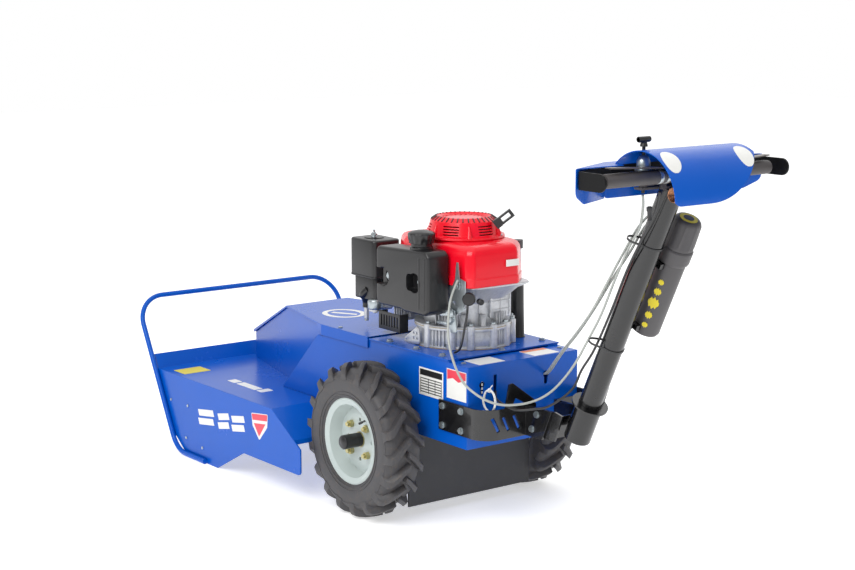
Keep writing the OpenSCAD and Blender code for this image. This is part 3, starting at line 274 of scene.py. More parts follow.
class Shape:
    """Collects the walls of one piece, in millimetres, and then places it."""

    def __init__(self):
        self.mesh = bmesh.new()

    def skin(self, rings, loop=False):
        """Walls between one ring of corners and the next, closed by end faces or, for a loop, by joining the
        last to the first."""
        rows = [[self.mesh.verts.new(p) for p in ring] for ring in rings]
        pairs = list(zip(rows, rows[1:])) + ([(rows[-1], rows[0])] if loop else [])
        for a, b in pairs:
            for k in range(len(a)):
                n = (k + 1) % len(a)
                self.mesh.faces.new((a[k], a[n], b[n], b[k]))
        if not loop:
            self.mesh.faces.new(rows[0][::-1])
            self.mesh.faces.new(rows[-1])
        return self

    def prism(self, outline, low, high, plane="xy"):
        lift = PLANES[plane]
        return self.skin([[lift(a, b, h) for a, b in outline] for h in (low, high)])

    def block(self, low, high):
        return self.prism(rectangle(low[0], low[1], high[0], high[1]), low[2], high[2])

    def turn(self, profile, centre, axis=(0, 0, 1), steps=48, loop=False):
        w = Vector(axis).normalized()
        u = w.orthogonal().normalized()
        v = w.cross(u)
        spin = [2 * pi * k / steps for k in range(steps)]
        rings = [[Vector(centre) + (u * cos(a) + v * sin(a)) * max(r, DIE_SMALL) + w * h for a in spin]
                 for r, h in profile]
        return self.skin(rings, loop=loop)

    def rod(self, start, end, radius, steps=16):
        way = Vector(end) - Vector(start)
        return self.turn([(radius, 0), (radius, way.length)], start, way, steps)

    def bolt(self, centre, axis, radius, rise):
        """A hexagon head with a chamfered top, on its washer."""
        self.turn([(radius * 1.25, 0), (radius * 1.25, 1.2)], centre, axis, 20)
        return self.turn([(radius, 0.4), (radius, rise - radius * 0.12), (radius * 0.86, rise)], centre, axis, 6)

    def sweep(self, route, radius, steps=12):
        points = [Vector(p) for p in route]
        side = None
        rings = []
        for i, p in enumerate(points):
            way = (points[min(i + 1, len(points) - 1)] - points[max(i - 1, 0)]).normalized()
            side = (side - way * side.dot(way) if side else way.orthogonal()).normalized()
            up = way.cross(side)
            rings.append([p + side * radius * cos(2 * pi * k / steps)
                          + up * radius * sin(2 * pi * k / steps) for k in range(steps)])
        return self.skin(rings)

    def to_object(self, name):
        bmesh.ops.recalc_face_normals(self.mesh, faces=self.mesh.faces[:])
        for v in self.mesh.verts:
            v.co = place_point(*v.co)
        mesh = bpy.data.meshes.new(name)
        self.mesh.to_mesh(mesh)
        self.mesh.free()
        made = bpy.data.objects.new(name, mesh)
        bpy.context.scene.collection.objects.link(made)
        return made

    def place(self, name, look, body="machine", replaces=(), bevel=0.0, steps=3, cut=(), edge=0.0, sharp=38):
        """Makes the piece: `bevel` rounds it before its cuts are made, `edge` rounds it after."""
        piece = self.to_object(name)
        if bevel:
            round_edges(piece, bevel, steps)
        cutters = [c.to_object(name + "_cut") for c in cut]
        for c in cutters:
            take = piece.modifiers.new("cut", "BOOLEAN")
            take.operation, take.solver, take.object = "DIFFERENCE", "EXACT", c
        if cutters:
            settle(piece)
            for c in cutters:
                bpy.data.objects.remove(c)
        if edge:
            round_edges(piece, edge, 2)
        settle(piece)
        for p in piece.data.polygons:
            p.use_smooth = True
        piece.data.set_sharp_from_angle(angle=radians(sharp))
        piece.data.materials.clear()
        piece.data.materials.append(FINISHES[look])
        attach(piece, body)
        if replaces:
            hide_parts(*replaces)
        return piece


def round_edges(piece, width, steps):
    made = piece.modifiers.new("round", "BEVEL")
    made.width, made.segments, made.limit_method = width * MM, steps, "ANGLE"
    made.angle_limit = radians(ROUND_ABOVE)
    made.use_clamp_overlap = True


def settle(piece):
    """Applies the modifiers that shaped the piece."""
    if not piece.modifiers:
        return
    graph = bpy.context.evaluated_depsgraph_get()
    made = bpy.data.meshes.new_from_object(piece.evaluated_get(graph))
    piece.modifiers.clear()
    piece.data = made


# ---- stage ----
CAMERA_PLACE = (-3.6919, 2.8321, 1.3839)
CAMERA_AIM = (0.785, -0.5959, -0.1702)
CAMERA_LENS = 73.72
CAMERA_SENSOR = 36.0
FLOOR_HALF, FLOOR_THICK, FLOOR_TOP = 14000, 5.8, -0.2
SOFT_LIGHTS = [
    # place, aim, width, height, watts
    ((-1.2, 3.4, 3.2), (0, 0, 0.4), 3.0, 2.2, 118),
    ((-3.4, -0.4, 2.6), (0, 0, 0.4), 2.4, 2.4, 12),
    ((1.2, -2.8, 2.8), (0.1, 0, 0.4), 3.0, 2.0, 12),
    ((0.2, 0.4, 4.4), (0, 0, 0.3), 3.6, 3.0, 14),
]


def build_stage():
    scene = bpy.context.scene
    scene.view_settings.view_transform = "Standard"
    lens = bpy.data.cameras.new("camera")
    lens.lens, lens.sensor_width = CAMERA_LENS, CAMERA_SENSOR
    camera = bpy.data.objects.new("camera", lens)
    camera.location = CAMERA_PLACE
    camera.rotation_euler = Vector(CAMERA_AIM).to_track_quat("-Z", "Y").to_euler()
    scene.collection.objects.link(camera)
    scene.camera = camera
    floor = rectangle(-FLOOR_HALF, -FLOOR_HALF, FLOOR_HALF, FLOOR_HALF)
    ground = Shape().prism(floor, FLOOR_TOP - FLOOR_THICK, FLOOR_TOP).to_object("floor")
    paper = bpy.data.materials.new("studio_paper")
    paper.use_nodes = True
    tree = paper.node_tree
    tree.nodes.clear()
    where = add_node(tree, "TexCoord").outputs["Object"]
    fibre = add_node(tree, "TexNoise", {"Scale": 40.0, "Detail": 3.0}, {"Vector": where})
    tone = add_node(tree, "MapRange", {"To Min": 0.86, "To Max": 0.9}, {"Value": fibre.outputs["Fac"]})
    shader = add_node(tree, "BsdfPrincipled", {"Roughness": 0.9, "Specular IOR Level": 0.1,
                                                         "Emission Color": (1, 1, 1, 1), "Emission Strength": 0.5},
                      {"Base Color": tone.outputs["Result"]})
    add_node(tree, "OutputMaterial", links={"Surface": shader.outputs["BSDF"]})
    ground.data.materials.append(paper)
    world = bpy.data.worlds.new("studio")
    world.use_nodes = True
    sky = world.node_tree
    backdrop = sky.nodes["Background"]
    backdrop.inputs["Color"].default_value = (1, 1, 1, 1)
    # the paper wall is bright in front of the camera and overhead, and the room behind the camera is dim
    way = add_node(sky, "TexCoord").outputs["Generated"]
    ahead = add_node(sky, "VectorMath", {1: (CAMERA_AIM[0], CAMERA_AIM[1], 0)}, {0: way},
                     operation="DOT_PRODUCT")
    wall = add_node(sky, "MapRange", {"From Min": -0.1, "From Max": 0.55, "To Min": 0.34, "To Max": 1.0},
                    {"Value": ahead.outputs["Value"]})
    height = add_node(sky, "SeparateXYZ", links={"Vector": way})
    roof = add_node(sky, "MapRange", {"From Min": 0.45, "From Max": 0.8, "To Min": 0.0, "To Max": 0.9},
                    {"Value": height.outputs["Z"]})
    level = add_node(sky, "Math", links={0: wall.outputs["Result"], 1: roof.outputs["Result"]},
                     operation="MAXIMUM")
    sky.links.new(level.outputs["Value"], backdrop.inputs["Strength"])
    scene.world = world
    for i, (place, aim, wide, deep, watts) in enumerate(SOFT_LIGHTS):
        light = bpy.data.lights.new(f"softbox_{i}", "AREA")
        light.shape, light.size, light.size_y, light.energy = "RECTANGLE", wide, deep, watts
        lamp = bpy.data.objects.new(f"softbox_{i}", light)
        lamp.location = place
        lamp.rotation_euler = (Vector(aim) - Vector(place)).to_track_quat("-Z", "Y").to_euler()
        scene.collection.objects.link(lamp)


# ---- control cables ----
CABLE_ROUTES = {
    "throttle_cable": [
        [-861, 112, 918], [-850, 100, 890], [-800, 60, 835], [-745, 40, 780], [-700, 39, 700], [-655, 39, 610],
        [-610, 39, 540], [-560, 42, 465], [-500, 48, 400], [-455, 66, 366], [-430, 110, 356], [-410, 160, 362],
        [-375, 195, 385], [-325, 205, 420], [-280, 205, 500], [-245, 175, 590], [-222, 132, 642]],
    "blade_cable": [
        [-880, 78, 925], [-850, 66, 870], [-790, 46, 800], [-728, 30, 720], [-680, 31, 620], [-625, 31, 520],
        [-580, 31, 460], [-545, 30, 405], [-500, 60, 360], [-460, 76, 346], [-425, 100, 340], [-412, 122, 349],
        [-385, 128, 358], [-360, 118, 362], [-342, 104, 366], [-331, 95, 368]],
    "drive_cable_a": [
        [-318, -78, 390], [-345, -72, 400], [-440, -30, 470], [-540, 5, 545], [-620, 26, 620], [-684, 31, 700],
        [-722, 14, 765], [-758, -6, 835], [-800, -50, 893], [-850, -90, 925]],
    "drive_cable_b": [
        [-318, -70, 390], [-345, -64, 400], [-440, -20, 466], [-540, 16, 540], [-620, 37, 612], [-676, 40, 690],
        [-716, 28, 765], [-754, 8, 838], [-800, -30, 890], [-850, -70, 925]],
}
ROUTE_STEPS = 6


def smooth_route(points, steps=ROUTE_STEPS):
    """Passes one smooth line through the points of a route."""
    p = [Vector(q) for q in points]
    made = []
    for i in range(len(p) - 1):
        a, b, c, d = p[max(i - 1, 0)], p[i], p[i + 1], p[min(i + 2, len(p) - 1)]
        for k in range(steps):
            t = k / steps
            made.append(0.5 * (2 * b + (c - a) * t + (2 * a - 5 * b + 4 * c - d) * t ** 2
                               + (3 * b - a - 3 * c + d) * t ** 3))
    return made + [p[-1]]


def build_cables(sizes):
    for name, route in CABLE_ROUTES.items():
        line = smooth_route(route)
        curve = bpy.data.curves.new(name, "CURVE")
        curve.dimensions = "3D"
        curve.bevel_depth = sizes.cable_width / 2 * MM
        curve.bevel_resolution = 4
        curve.use_fill_caps = True
        spline = curve.splines.new("POLY")
        spline.points.add(len(line) - 1)
        for point, p in zip(spline.points, line):
            point.co = (*place_point(*p), 1)
        piece = bpy.data.objects.new(name + "_jacket", curve)
        bpy.context.scene.collection.objects.link(piece)
        look = "cable_black" if name == "blade_cable" else "cable_grey"
        curve.materials.append(FINISHES[look])
        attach(piece, "machine")
        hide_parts("drive_cables" if name.startswith("drive") else name)


SPARE_LOOP = (-370, 147, 360)  # the middle of the loop of spare cable


def build_cable_fittings():
    """The loop of spare cable, its white tie, and the boots at the cables' upper ends."""
    x, y, z = SPARE_LOOP
    coil = [(x + 23 * cos(a), y + k * 0.08 - 3, z + 27 * sin(a))
            for k in range(73) for a in [2 * pi * k / 36]]
    Shape().sweep(coil, 1.6, 8).place("cable_ring", "vinyl_white")
    tie = Shape().turn([(5.5, -2), (5.5, 2)], (x, y, z + 26), (1, 0, 0), 20)
    tie.rod((x, y + 3, z + 26), (x - 22, y + 9, z + 44), 1.3)
    tie.place("ring_tie", "vinyl_white")
    boots = Shape()
    for end in ((-861, 90, 884), (-850, -90, 925), (-850, -70, 925)):
        boots.turn([(4, -26), (5.6, -24), (5.6, -4), (7, -2), (7, 6), (3, 8)], end, (0.1, 0, 1), 20)
    boots.place("cable_boots", "cable_black")


# ---- wheels ----
AXLE_Z = 205
WHEEL_Y = 267
TREAD_R = 189
TYRE_R = 205
TYRE_HALF = 55


def build_wheels(sizes):
    for side, word in ((1, "left"), (-1, "right")):
        body = word + "_wheel"
        centre = (0, side * WHEEL_Y, AXLE_Z)
        tyre = Shape()
        half = [(103, 42), (111, 45), (116, 50), (124, 53), (140, 55), (160, 55), (172, 53), (181, 46), (186, 34),
                (188, 18), (TREAD_R, 0)]
        profile = half + [(r, -h) for r, h in half[-2::-1]]
        tyre.turn(profile, centre, (0, 1, 0), 96, loop=True)
        # moulded rings on the side wall
        for r, h in ((122, 53.2), (131, 54.6), (168, 53.8)):
            for face in (1, -1):
                tyre.turn([(r - 1.6, face * (h - 2)), (r - 1.0, face * (h + 0.9)), (r + 1.0, face * (h + 0.9)),
                           (r + 1.6, face * (h - 2))], centre, (0, 1, 0), 96, loop=True)
        tyre.place("tyre_casing_" + word, "tyre_rubber", body, replaces=["tyre_" + word], sharp=50)
        lugs = Shape()
        # each lug runs from the middle out to the shoulder and down the side wall
        stations = [(-4, TYRE_R, 184, 0.0, 0.8), (14, TYRE_R - 0.4, 183, 4.2, 0.92),
                    (30, TYRE_R - 1.6, 181, 9.0, 1.0), (42, TYRE_R - 4, 176, 12.6, 1.05),
                    (51, TYRE_R - 10, 166, 14.2, 1.1), (55.5, 183, 164, 14.6, 1.0), (56.5, 174, 164, 14.7, 0.8)]
        for face in (1, -1):
            for i in range(sizes.lugs):
                start = (i + (face + 1) / 4) * 360 / sizes.lugs
                rings = []
                for across, top, root, lead, fat in stations:
                    middle = radians(start + lead)
                    ring = []
                    for r, wide in ((root, 0.66), (top, 0.44), (top, -0.44), (root, -0.66)):
                        a = middle + wide * fat * sizes.lug_width / r
                        ring.append((r * cos(a), side * WHEEL_Y + face * min(across, TYRE_HALF + 0.4),
                                     AXLE_Z + r * sin(a)))
                    rings.append(ring)
                lugs.skin(rings)
        lugs.place("tyre_lugs_" + word, "tyre_rubber", body, edge=1.6, sharp=30)
        # valve stem in the rim's well
        valve = Shape()
        up = Vector((-60, side * (WHEEL_Y + 22), AXLE_Z + 70))
        valve.turn([(4.5, 0), (4, 10), (2.6, 12), (2.6, 24), (3.4, 25), (3.4, 33), (2, 35)], up,
                   (0.5, side * 1.0, -0.5), 16)
        valve.place("valve_" + word, "moulded_black", body)
        cap = Shape().turn([(18.6, 0), (18.8, 30), (19, 52), (18, 57), (14, 60.4), (0, 61.5)],
                           (0, side * (WHEEL_Y + 12), AXLE_Z), (0, side, 0), 40)
        cap.place("axle_cap_" + word, "moulded_black", body)


# ---- engine ----
ENGINE_X = -80
SHROUD_PLAN = [(-252, -45), (-200, -100), (-120, -118), (60, -118), (128, -92), (128, 60), (60, 100), (-20, 117),
               (-236, 117), (-252, 104)]


def ring_point(r, angle, z=0, across=None):
    """A point round the crankshaft, r from it, or r along and `across` across the machine."""
    a = radians(angle)
    return ENGINE_X + r * cos(a), (across or r) * sin(a), z


def build_engine_covers():
    plan = rounded(SHROUD_PLAN, 16, 4)

    def grow(outline, by):
        return [(ENGINE_X + (x - ENGINE_X) * (1 + by / 160), y * (1 + by / 115)) for x, y in outline]

    shroud = Shape().skin([level(grow(plan, g), z)
                           for g, z in ((-2.0, 620.4), (-0.2, 622), (-0.2, 641), (-2.4, 644), (-4, 700), (-6, 712),
                                        (-11, 720), (-20, 725), (-34, 727.6))])
    hole = Shape().turn([(92, -20), (92, 130)], (ENGINE_X, 0, 640), steps=64)
    hollow = Shape().skin([level(grow(plan, g), z) for g, z in ((-7, 610), (-7, 690), (-24, 716))])
    shroud.place("shroud_cover", "shroud_enamel", replaces=["fan_shroud"], cut=[hole, hollow], sharp=32)
    ring = Shape().turn([(108, 728.2), (108.5, 731), (106, 735), (100, 736), (100, 728.2)], (ENGINE_X, 0, 0),
                        steps=72, loop=True)
    ring.place("starter_rim", "shroud_enamel")
    posts = Shape()
    for k in range(6):
        a = radians(30 + 60 * k)
        out = Vector((cos(a), sin(a), 0))
        foot = Vector((ENGINE_X, 0, 735)) + out * 99
        posts.turn([(8, -4), (7.5, 6), (6, 14), (3, 30)], foot, (-out.x * 0.3, -out.y * 0.3, 1), 16)
    posts.place("starter_posts", "shroud_enamel")
    screws = Shape()
    for angle in (90, 210, 330):
        screws.bolt(ring_point(103, angle, 735.5), (0, 0, 1), 4.5, 4)
    screws.place("starter_screws", "zinc_plate")
    liner = Shape().turn([(0, 767), (80, 767), (89, 730), (86, 730), (78, 764), (0, 764)], (ENGINE_X, 0, 0), steps=64)
    liner.place("starter_liner", "oiled_steel")
    vents = Shape()
    for angle in range(0, 360, 10):
        vents.sweep([ring_point(r, angle, z) for r, z in ((72, 782.2), (75, 782.6), (87, 774.2))], 1.7, 8)
    vents.place("starter_vents", "moulded_black", sharp=60)
    Shape().block((-253.8, -44, 668), (-251.6, -2, 685)).place("shroud_label", "vinyl_white", edge=0.3)


TANK_BACK, TANK_FRONT, TANK_SIDE = -172, 56, 187.6
TANK_TOP = 711
TANK_BOLTS_X, TANK_BOLT_Z = (-112, 24), 625
NECK = (-97, 152)
CAP_STEPS, CAP_RIBS, CAP_RIB_DEPTH = 112, 14, 1.8


def build_fuel_tank():
    side = rounded([(TANK_BACK, 556), (TANK_BACK + 16, 545), (-70, 545), (-50, 549), (TANK_FRONT, 549),
                    (TANK_FRONT, 694), (TANK_FRONT - 8, 704), (TANK_BACK + 14, TANK_TOP), (TANK_BACK, 698)],
                   [14, 12, 12, 12, 20, 14, 16, 16, 14], 4)
    tank = Shape().prism(side, 119, TANK_SIDE, "xz")
    cuts = []
    for x, reach in zip(TANK_BOLTS_X, (34, 60)):
        cuts.append(Shape().turn([(20, -27), (22, -8), (26, 0), (30, 4)], (x, TANK_SIDE, TANK_BOLT_Z), (0, 1, 0), 40))
        cuts.append(Shape().prism(rounded(rectangle(x, TANK_BOLT_Z - 22, x + reach, TANK_BOLT_Z + 22), 12, 3), 163,
                                  195, "xz"))
    tank.place("tank_shell", "moulded_black", replaces=["fuel_tank"], bevel=12, steps=5, cut=cuts, edge=3, sharp=40)
    ridges = Shape()
    for x in (TANK_BACK + 18, TANK_BACK + 40):
        ridges.sweep([(x, TANK_SIDE - 2.4, z) for z in (560, 580, 620, 660, 692)], 4, 14)
    ridges.place("tank_ridges", "moulded_black")
    bolts = Shape()
    for x in TANK_BOLTS_X:
        bolts.turn([(15, 0), (15, 2)], (x, 161, TANK_BOLT_Z), (0, 1, 0), 28)
        bolts.bolt((x, 163, TANK_BOLT_Z), (0, 1, 0), 8, 9)
    bolts.place("tank_bolts", "zinc_plate")
    neck = Shape().turn([(30, -4), (30, 4), (27, 6), (27, 16), (24, 17), (24, 22)], (*NECK, TANK_TOP), steps=48)
    neck.place("tank_neck", "moulded_black")
    cap = Shape()
    rings = []
    for r, h in ((31.5, 14), (33.2, 16), (33.4, 22), (35.6, 24), (36, 36), (35.8, 38.5), (33, 41.5), (29, 43.6),
                 (16, 46.6), (1, 47.8)):
        rings.append([])
        for k in range(CAP_STEPS):
            a = 2 * pi * k / CAP_STEPS
            ribbed = CAP_RIB_DEPTH * (0.5 + 0.5 * cos(CAP_RIBS * a)) if 15 < h < 37 else 0
            rings[-1].append((NECK[0] + (r - ribbed) * cos(a), NECK[1] + (r - ribbed) * sin(a), TANK_TOP + h))
    cap.skin(rings)
    cap.place("tank_cap", "moulded_black", "fuel_cap", replaces=["fuel_cap"], sharp=60)


def build_air_cleaner():
    case = Shape().prism(rounded(rectangle(144, 39, 262, 130), 16, 4), 596, 698)
    case.place("air_cover", "moulded_black", replaces=["air_cleaner"], bevel=8, steps=4)
    base = Shape().prism(rounded([(150, 46), (250, 46), (250, 124), (150, 124)], 12, 4), 532, 598)
    base.place("air_base", "moulded_black", edge=4)
    lip = Shape().prism(rounded(rectangle(143, 38, 262.6, 130.6), 16, 4), 594, 600)
    lip.place("air_lip", "moulded_black", edge=2)
    dish = Shape().turn([(27, 697), (27, 699.6), (23, 700.2), (0, 700.4)], (208.5, 84, 0), steps=40)
    dish.place("air_dish", "moulded_black")
    nut = Shape().turn([(9, 700), (9, 702), (5.5, 703), (5.5, 712), (3.4, 713), (3.4, 719), (2.6, 720)],
                       (208.5, 84, 0), steps=24)
    nut.block((197, 81.5, 704), (220, 86.5, 710))
    nut.place("air_nut", "zinc_plate", edge=0.8)
    elbow = Shape().sweep(smooth_route([(190, 118, 560), (205, 124, 545), (214, 112, 535), (218, 104, 520),
                                        (218, 104, 505)], 5), 11, 20)
    elbow.place("breather_elbow", "moulded_black")
    Shape().rod((218, 104, 512), (218, 104, 468), 6, 20).place("breather_hose", "cable_grey")
    bowl = Shape().turn([(8, 0), (19, 3), (21, 8), (21, 26), (18, 30), (12, 32), (0, 32)], (165, 112, 506), steps=36)
    bowl.place("carburettor_bowl", "zinc_plate", edge=0.8)
    Shape().bolt((165, 112, 507), (0, 0, -1), 6, 7).place("carburettor_drain", "zinc_plate")


CASE_R, CASE_FOOT = 125, 449
CASE_BOSSES = (96, 128, 150, 178, 200, 222, 244)


def fin_row(shape, count, first, step, r_in, r_out, thick, low, high):
    """Thin upright fins standing on the casting's round wall, by angle in degrees."""
    for k in range(count):
        a = radians(first + k * step)
        out = Vector((cos(a), sin(a), 0))
        along = Vector((-out.y, out.x, 0)) * thick
        foot, tip = Vector((ENGINE_X, 0, 0)) + out * r_in, Vector((ENGINE_X, 0, 0)) + out * r_out
        shape.skin([[c + Vector((0, 0, z)) for c in (foot - along, foot + along, tip + along * 0.7,
                                                     tip - along * 0.7)] for z in (low, high)])


def build_engine_block():
    """The crankcase with its fins, bosses, bolts and gaskets, and the small parts that hang on it."""
    tub = Shape()
    lobe = []
    for k in range(96):
        a = 2 * pi * k / 96
        r = CASE_R + 3 * cos(4 * a)
        lobe.append((ENGINE_X + r * cos(a) * 1.02, r * sin(a)))
    tub.prism(lobe, CASE_FOOT, 502)
    rim = [(ENGINE_X + (x - ENGINE_X) * 1.05, y * 1.05) for x, y in lobe]
    tub.prism(rim, CASE_FOOT + 0.4, CASE_FOOT + 5)
    tub.prism(rim, 496, 508)
    tub.place("case_tub", "sand_cast", replaces=["crankcase"], edge=1.4, sharp=30)
    upper = Shape()
    turns = range(0, 360, 10)
    waist = [(max(x, ENGINE_X - 106), y) for x, y, _ in (ring_point(112, a, across=104) for a in turns)]
    top = [(max(ENGINE_X - 160, min(ENGINE_X + 190, x)), max(-108, min(108, y)))
           for x, y, _ in (ring_point(200, a, across=150) for a in turns)]
    upper.skin([level(waist, 500), level(waist, 566),
                [(x * 0.45 + u * 0.55, y * 0.45 + v * 0.55, 600) for (x, y), (u, v) in zip(waist, top)],
                level(top, 614), level(top, 620)])
    upper.place("case_upper", "sand_cast", edge=2, sharp=30)
    ribs = Shape()
    fin_row(ribs, 15, 186, 4.4, CASE_R - 2, CASE_R + 8, 1.7, 454, 498)
    fin_row(ribs, 9, 100, 4.6, CASE_R - 2, CASE_R + 7, 1.7, 454, 498)
    fin_row(ribs, 14, 186, 4.6, 96, 125, 1.5, 506, 540)
    fin_row(ribs, 7, 104, 5.0, 98, 120, 1.5, 506, 536)
    fin_row(ribs, 7, 146, 17, 100, 116, 3.2, 540, 616)
    ribs.place("case_ribs", "sand_cast", edge=0.8)
    bosses, bolts = Shape(), Shape()
    for k, angle in enumerate(CASE_BOSSES):
        x, y, _ = ring_point(CASE_R + 4, angle)
        bosses.turn([(11, CASE_FOOT), (10, 494), (10.5, 496), (10.5, 510), (9, 511.5)], (x, y, 0), steps=28)
        bolts.bolt((x, y, 511), (0, 0, 1), 6.2, 6)
        if k % 2:
            a = radians(angle) + 1.2
            bolts.bolt((x - 13 * cos(a), y - 13 * sin(a), 454), (0, 0, 1), 6.2, 8)
    for angle in (118, 140, 166):
        bosses.turn([(9, 505), (8.5, 536), (7, 538)], ring_point(118, angle, across=112), steps=24)
    bosses.place("case_bosses", "sand_cast")
    bolts.place("case_bolts", "zinc_plate")
    gasket = Shape()
    for z in (448.3, 502.6):
        gasket.prism([(ENGINE_X + (x - ENGINE_X) * 1.056, y * 1.056) for x, y in lobe], z, z + 1.6)
    gasket.place("case_gaskets", "gasket_paper")
    pad = Shape().prism(rounded(rectangle(-62, 520, 6, 604), 6, 3), -112.5, -104, "xz")
    pad.prism(rounded([(-70, 524), (2, 524), (2, 600), (-70, 600)], 6, 3), ENGINE_X - 112, ENGINE_X - 104, "yz")
    pad.place("case_pads", "sand_cast", edge=2)
    cells = Shape()
    for z in (544, 566, 584):
        cells.prism(rectangle(-64, z, -4, z + 3), ENGINE_X - 114, ENGINE_X - 111, "yz")
    for y in (-64, -34, -5):
        cells.prism(rectangle(y - 1.5, 528, y + 1.5, 598), ENGINE_X - 114, ENGINE_X - 111, "yz")
    cells.place("case_pad_ribs", "sand_cast", edge=0.8)
    switch = Shape().turn([(17, 0), (17, 9), (15, 12), (0, 12.5)], (-238, 108, 594), (-0.75, 0.65, 0), 32)
    switch.turn([(8, 0), (8, 14), (6, 16), (0, 16)], (-248, 82, 586), (-0.9, 0.3, 0), 24)
    switch.place("stop_switch", "moulded_black")
    lead = Shape().sweep(smooth_route([(-240, 114, 582), (-246, 120, 556), (-238, 122, 520), (-232, 124, 486),
                                       (-222, 126, 462), (-206, 130, 452)], 5), 3, 10)
    lead.place("switch_lead", "cable_black")
    plate = Shape().prism([(-4, 451), (-10, 464), (-60, 498), (-70, 494), (-72, 460), (-66, 452)], 137, 140, "xz")
    plate.place("stay_plate", "sand_cast", edge=0.8,
                cut=[Shape().rod((x, 130, z), (x, 150, z), 3.4)
                     for x, z in ((-14, 457), (-46, 466), (-46, 480), (-60, 466), (-60, 480))])
    linkage = Shape().prism(rounded([(-214, 505), (-190, 500), (-176, 530), (-180, 566), (-206, 560)], 5, 3), 126,
                            129, "xz")
    linkage.prism(rounded([(-206, 548), (-150, 540), (-150, 552), (-200, 566)], 4, 3), 131, 133, "xz")
    linkage.rod((-196, 122, 536), (-196, 138, 536), 7)
    linkage.rod((-186, 122, 556), (-186, 140, 556), 5)
    linkage.rod((-150, 128, 546), (40, 118, 552), 1.8)
    linkage.place("governor_linkage", "zinc_plate", edge=0.6)
    spring = Shape()
    coil = [(-190 + k * 0.55, 134 + 4 * cos(k * 0.9), 524 + 4 * sin(k * 0.9)) for k in range(90)]
    spring.sweep(coil, 0.9, 8)
    spring.place("governor_spring", "zinc_plate")
    filler = Shape().turn([(22, CASE_FOOT), (20, 452), (18, 530), (17, 600)], (-127, -146, 0), steps=32)
    filler.place("filler_neck", "moulded_black")


# ---- handle and document tube ----
LEAN = atan(267 / 561)
MAST_AXIS = Vector((-sin(LEAN), 0, cos(LEAN)))
MAST_FOOT = Vector((-544, 0, 299))
TUBE_FOOT = MAST_FOOT + MAST_AXIS * 296 + Vector((-14 * cos(LEAN), -76.5, -14 * sin(LEAN)))


GRIP_X, GRIP_Z = -891, 961
KNOB_X, KNOB_Y = -861, 112
HUMP_Z, HUMP_R, HUMP_HALF = 912, 110.2, 150
SHIELD_Z, SHIELD_LOW, SHIELD_BACK, SHIELD_FRONT = 986.8, 904, -840, -768
SHIELD_WIDE, SHIELD_NARROW = 295, 144  # half its width at the back and at the front
SHEET = 2.4


def hump_reach(y):
    """How far round the hump the sheet goes at y, in degrees from the top, towards the rear."""
    low = 92.0
    if y > 132:
        return low - 5 * ((y - 132) / 18) ** 2
    if y > 40:
        return low
    t = (40 - y) / (40 + HUMP_HALF)
    return low - 62 * t ** 2.2


def build_shield():
    """The pressed shield: a hump over the bar, and a wide flat front with a turned-down rim."""
    hump = Shape()
    join = degrees(acos((SHIELD_Z - HUMP_Z) / HUMP_R))
    across = [-HUMP_HALF + 2 * HUMP_HALF * k / 60 for k in range(61)]
    rows_out, rows_in = [], []
    for y in across:
        end = hump_reach(y)
        out, inner = [], []
        for k in range(49):
            a = radians(join - (join + end) * k / 48)
            for row, r in ((out, HUMP_R), (inner, HUMP_R - SHEET)):
                row.append((GRIP_X + r * sin(a), y, HUMP_Z + r * cos(a)))
        rows_out.append(out)
        rows_in.append(inner)
    hump.skin([out + inner[::-1] for out, inner in zip(rows_out, rows_in)])
    hump.place("shield_hump", "powder_coat", replaces=["handle_shield"], sharp=40)
    joint_x = GRIP_X + HUMP_R * sin(radians(join)) - 1
    turn = atan2(SHIELD_WIDE - SHIELD_NARROW, SHIELD_FRONT - SHIELD_BACK)
    flat = Shape()
    top = rounded([(SHIELD_BACK, SHIELD_WIDE), (SHIELD_FRONT, SHIELD_NARROW), (SHIELD_FRONT, -SHIELD_NARROW),
                   (SHIELD_BACK, -SHIELD_WIDE), (SHIELD_BACK, -HUMP_HALF), (joint_x, -HUMP_HALF),
                   (joint_x, HUMP_HALF), (SHIELD_BACK, HUMP_HALF)], [2, 8, 8, 2, 2, 2, 2, 2], 3)
    flat.prism(top, SHIELD_Z - SHEET, SHIELD_Z)
    flat.place("shield_top", "powder_coat", edge=1.2)
    rim = Shape().prism(rounded(rectangle(1 - SHIELD_NARROW, SHIELD_LOW, SHIELD_NARROW - 1, SHIELD_Z - 0.5),
                                [10, 10, 2, 2], 4), SHIELD_FRONT - SHEET, SHIELD_FRONT, "yz")
    rim.place("shield_rim", "powder_coat", edge=1)
    long = hypot(SHIELD_WIDE - SHIELD_NARROW, SHIELD_FRONT - SHIELD_BACK)
    for side, word in ((1, "left"), (-1, "right")):
        wing = Shape()
        outline = rounded([(0, SHIELD_Z - 0.5), (0, SHIELD_LOW), (long * 0.72, SHIELD_LOW), (long, 926),
                           (long, SHIELD_Z - 0.5)], [1, 6, 30, 22, 1], 6)
        rings = []
        for out in (0, -SHEET):
            rings.append([(SHIELD_FRONT - u * cos(turn) + out * sin(turn),
                           side * (SHIELD_NARROW + u * sin(turn) + out * cos(turn)), z) for u, z in outline])
        wing.skin(rings)
        wing.place("shield_wing_" + word, "powder_coat", edge=1)
    for y, word in ((118, "left"), (-112, "right")):
        patch = Shape()
        rings = []
        for k in range(1, 20):
            t = pi * k / 20
            a = radians(-34 - 19 * cos(t))
            mid, half = y + 8 * cos(t), 24 * sin(t)
            rings.append([(GRIP_X + r * sin(a), mid + reach, HUMP_Z + r * cos(a)) for r, reach in
                          ((HUMP_R - 0.3, -half), (HUMP_R - 0.3, half), (HUMP_R + 0.6, half), (HUMP_R + 0.6, -half))])
        patch.skin(rings)
        patch.place("shield_label_" + word, "vinyl_white", sharp=60)


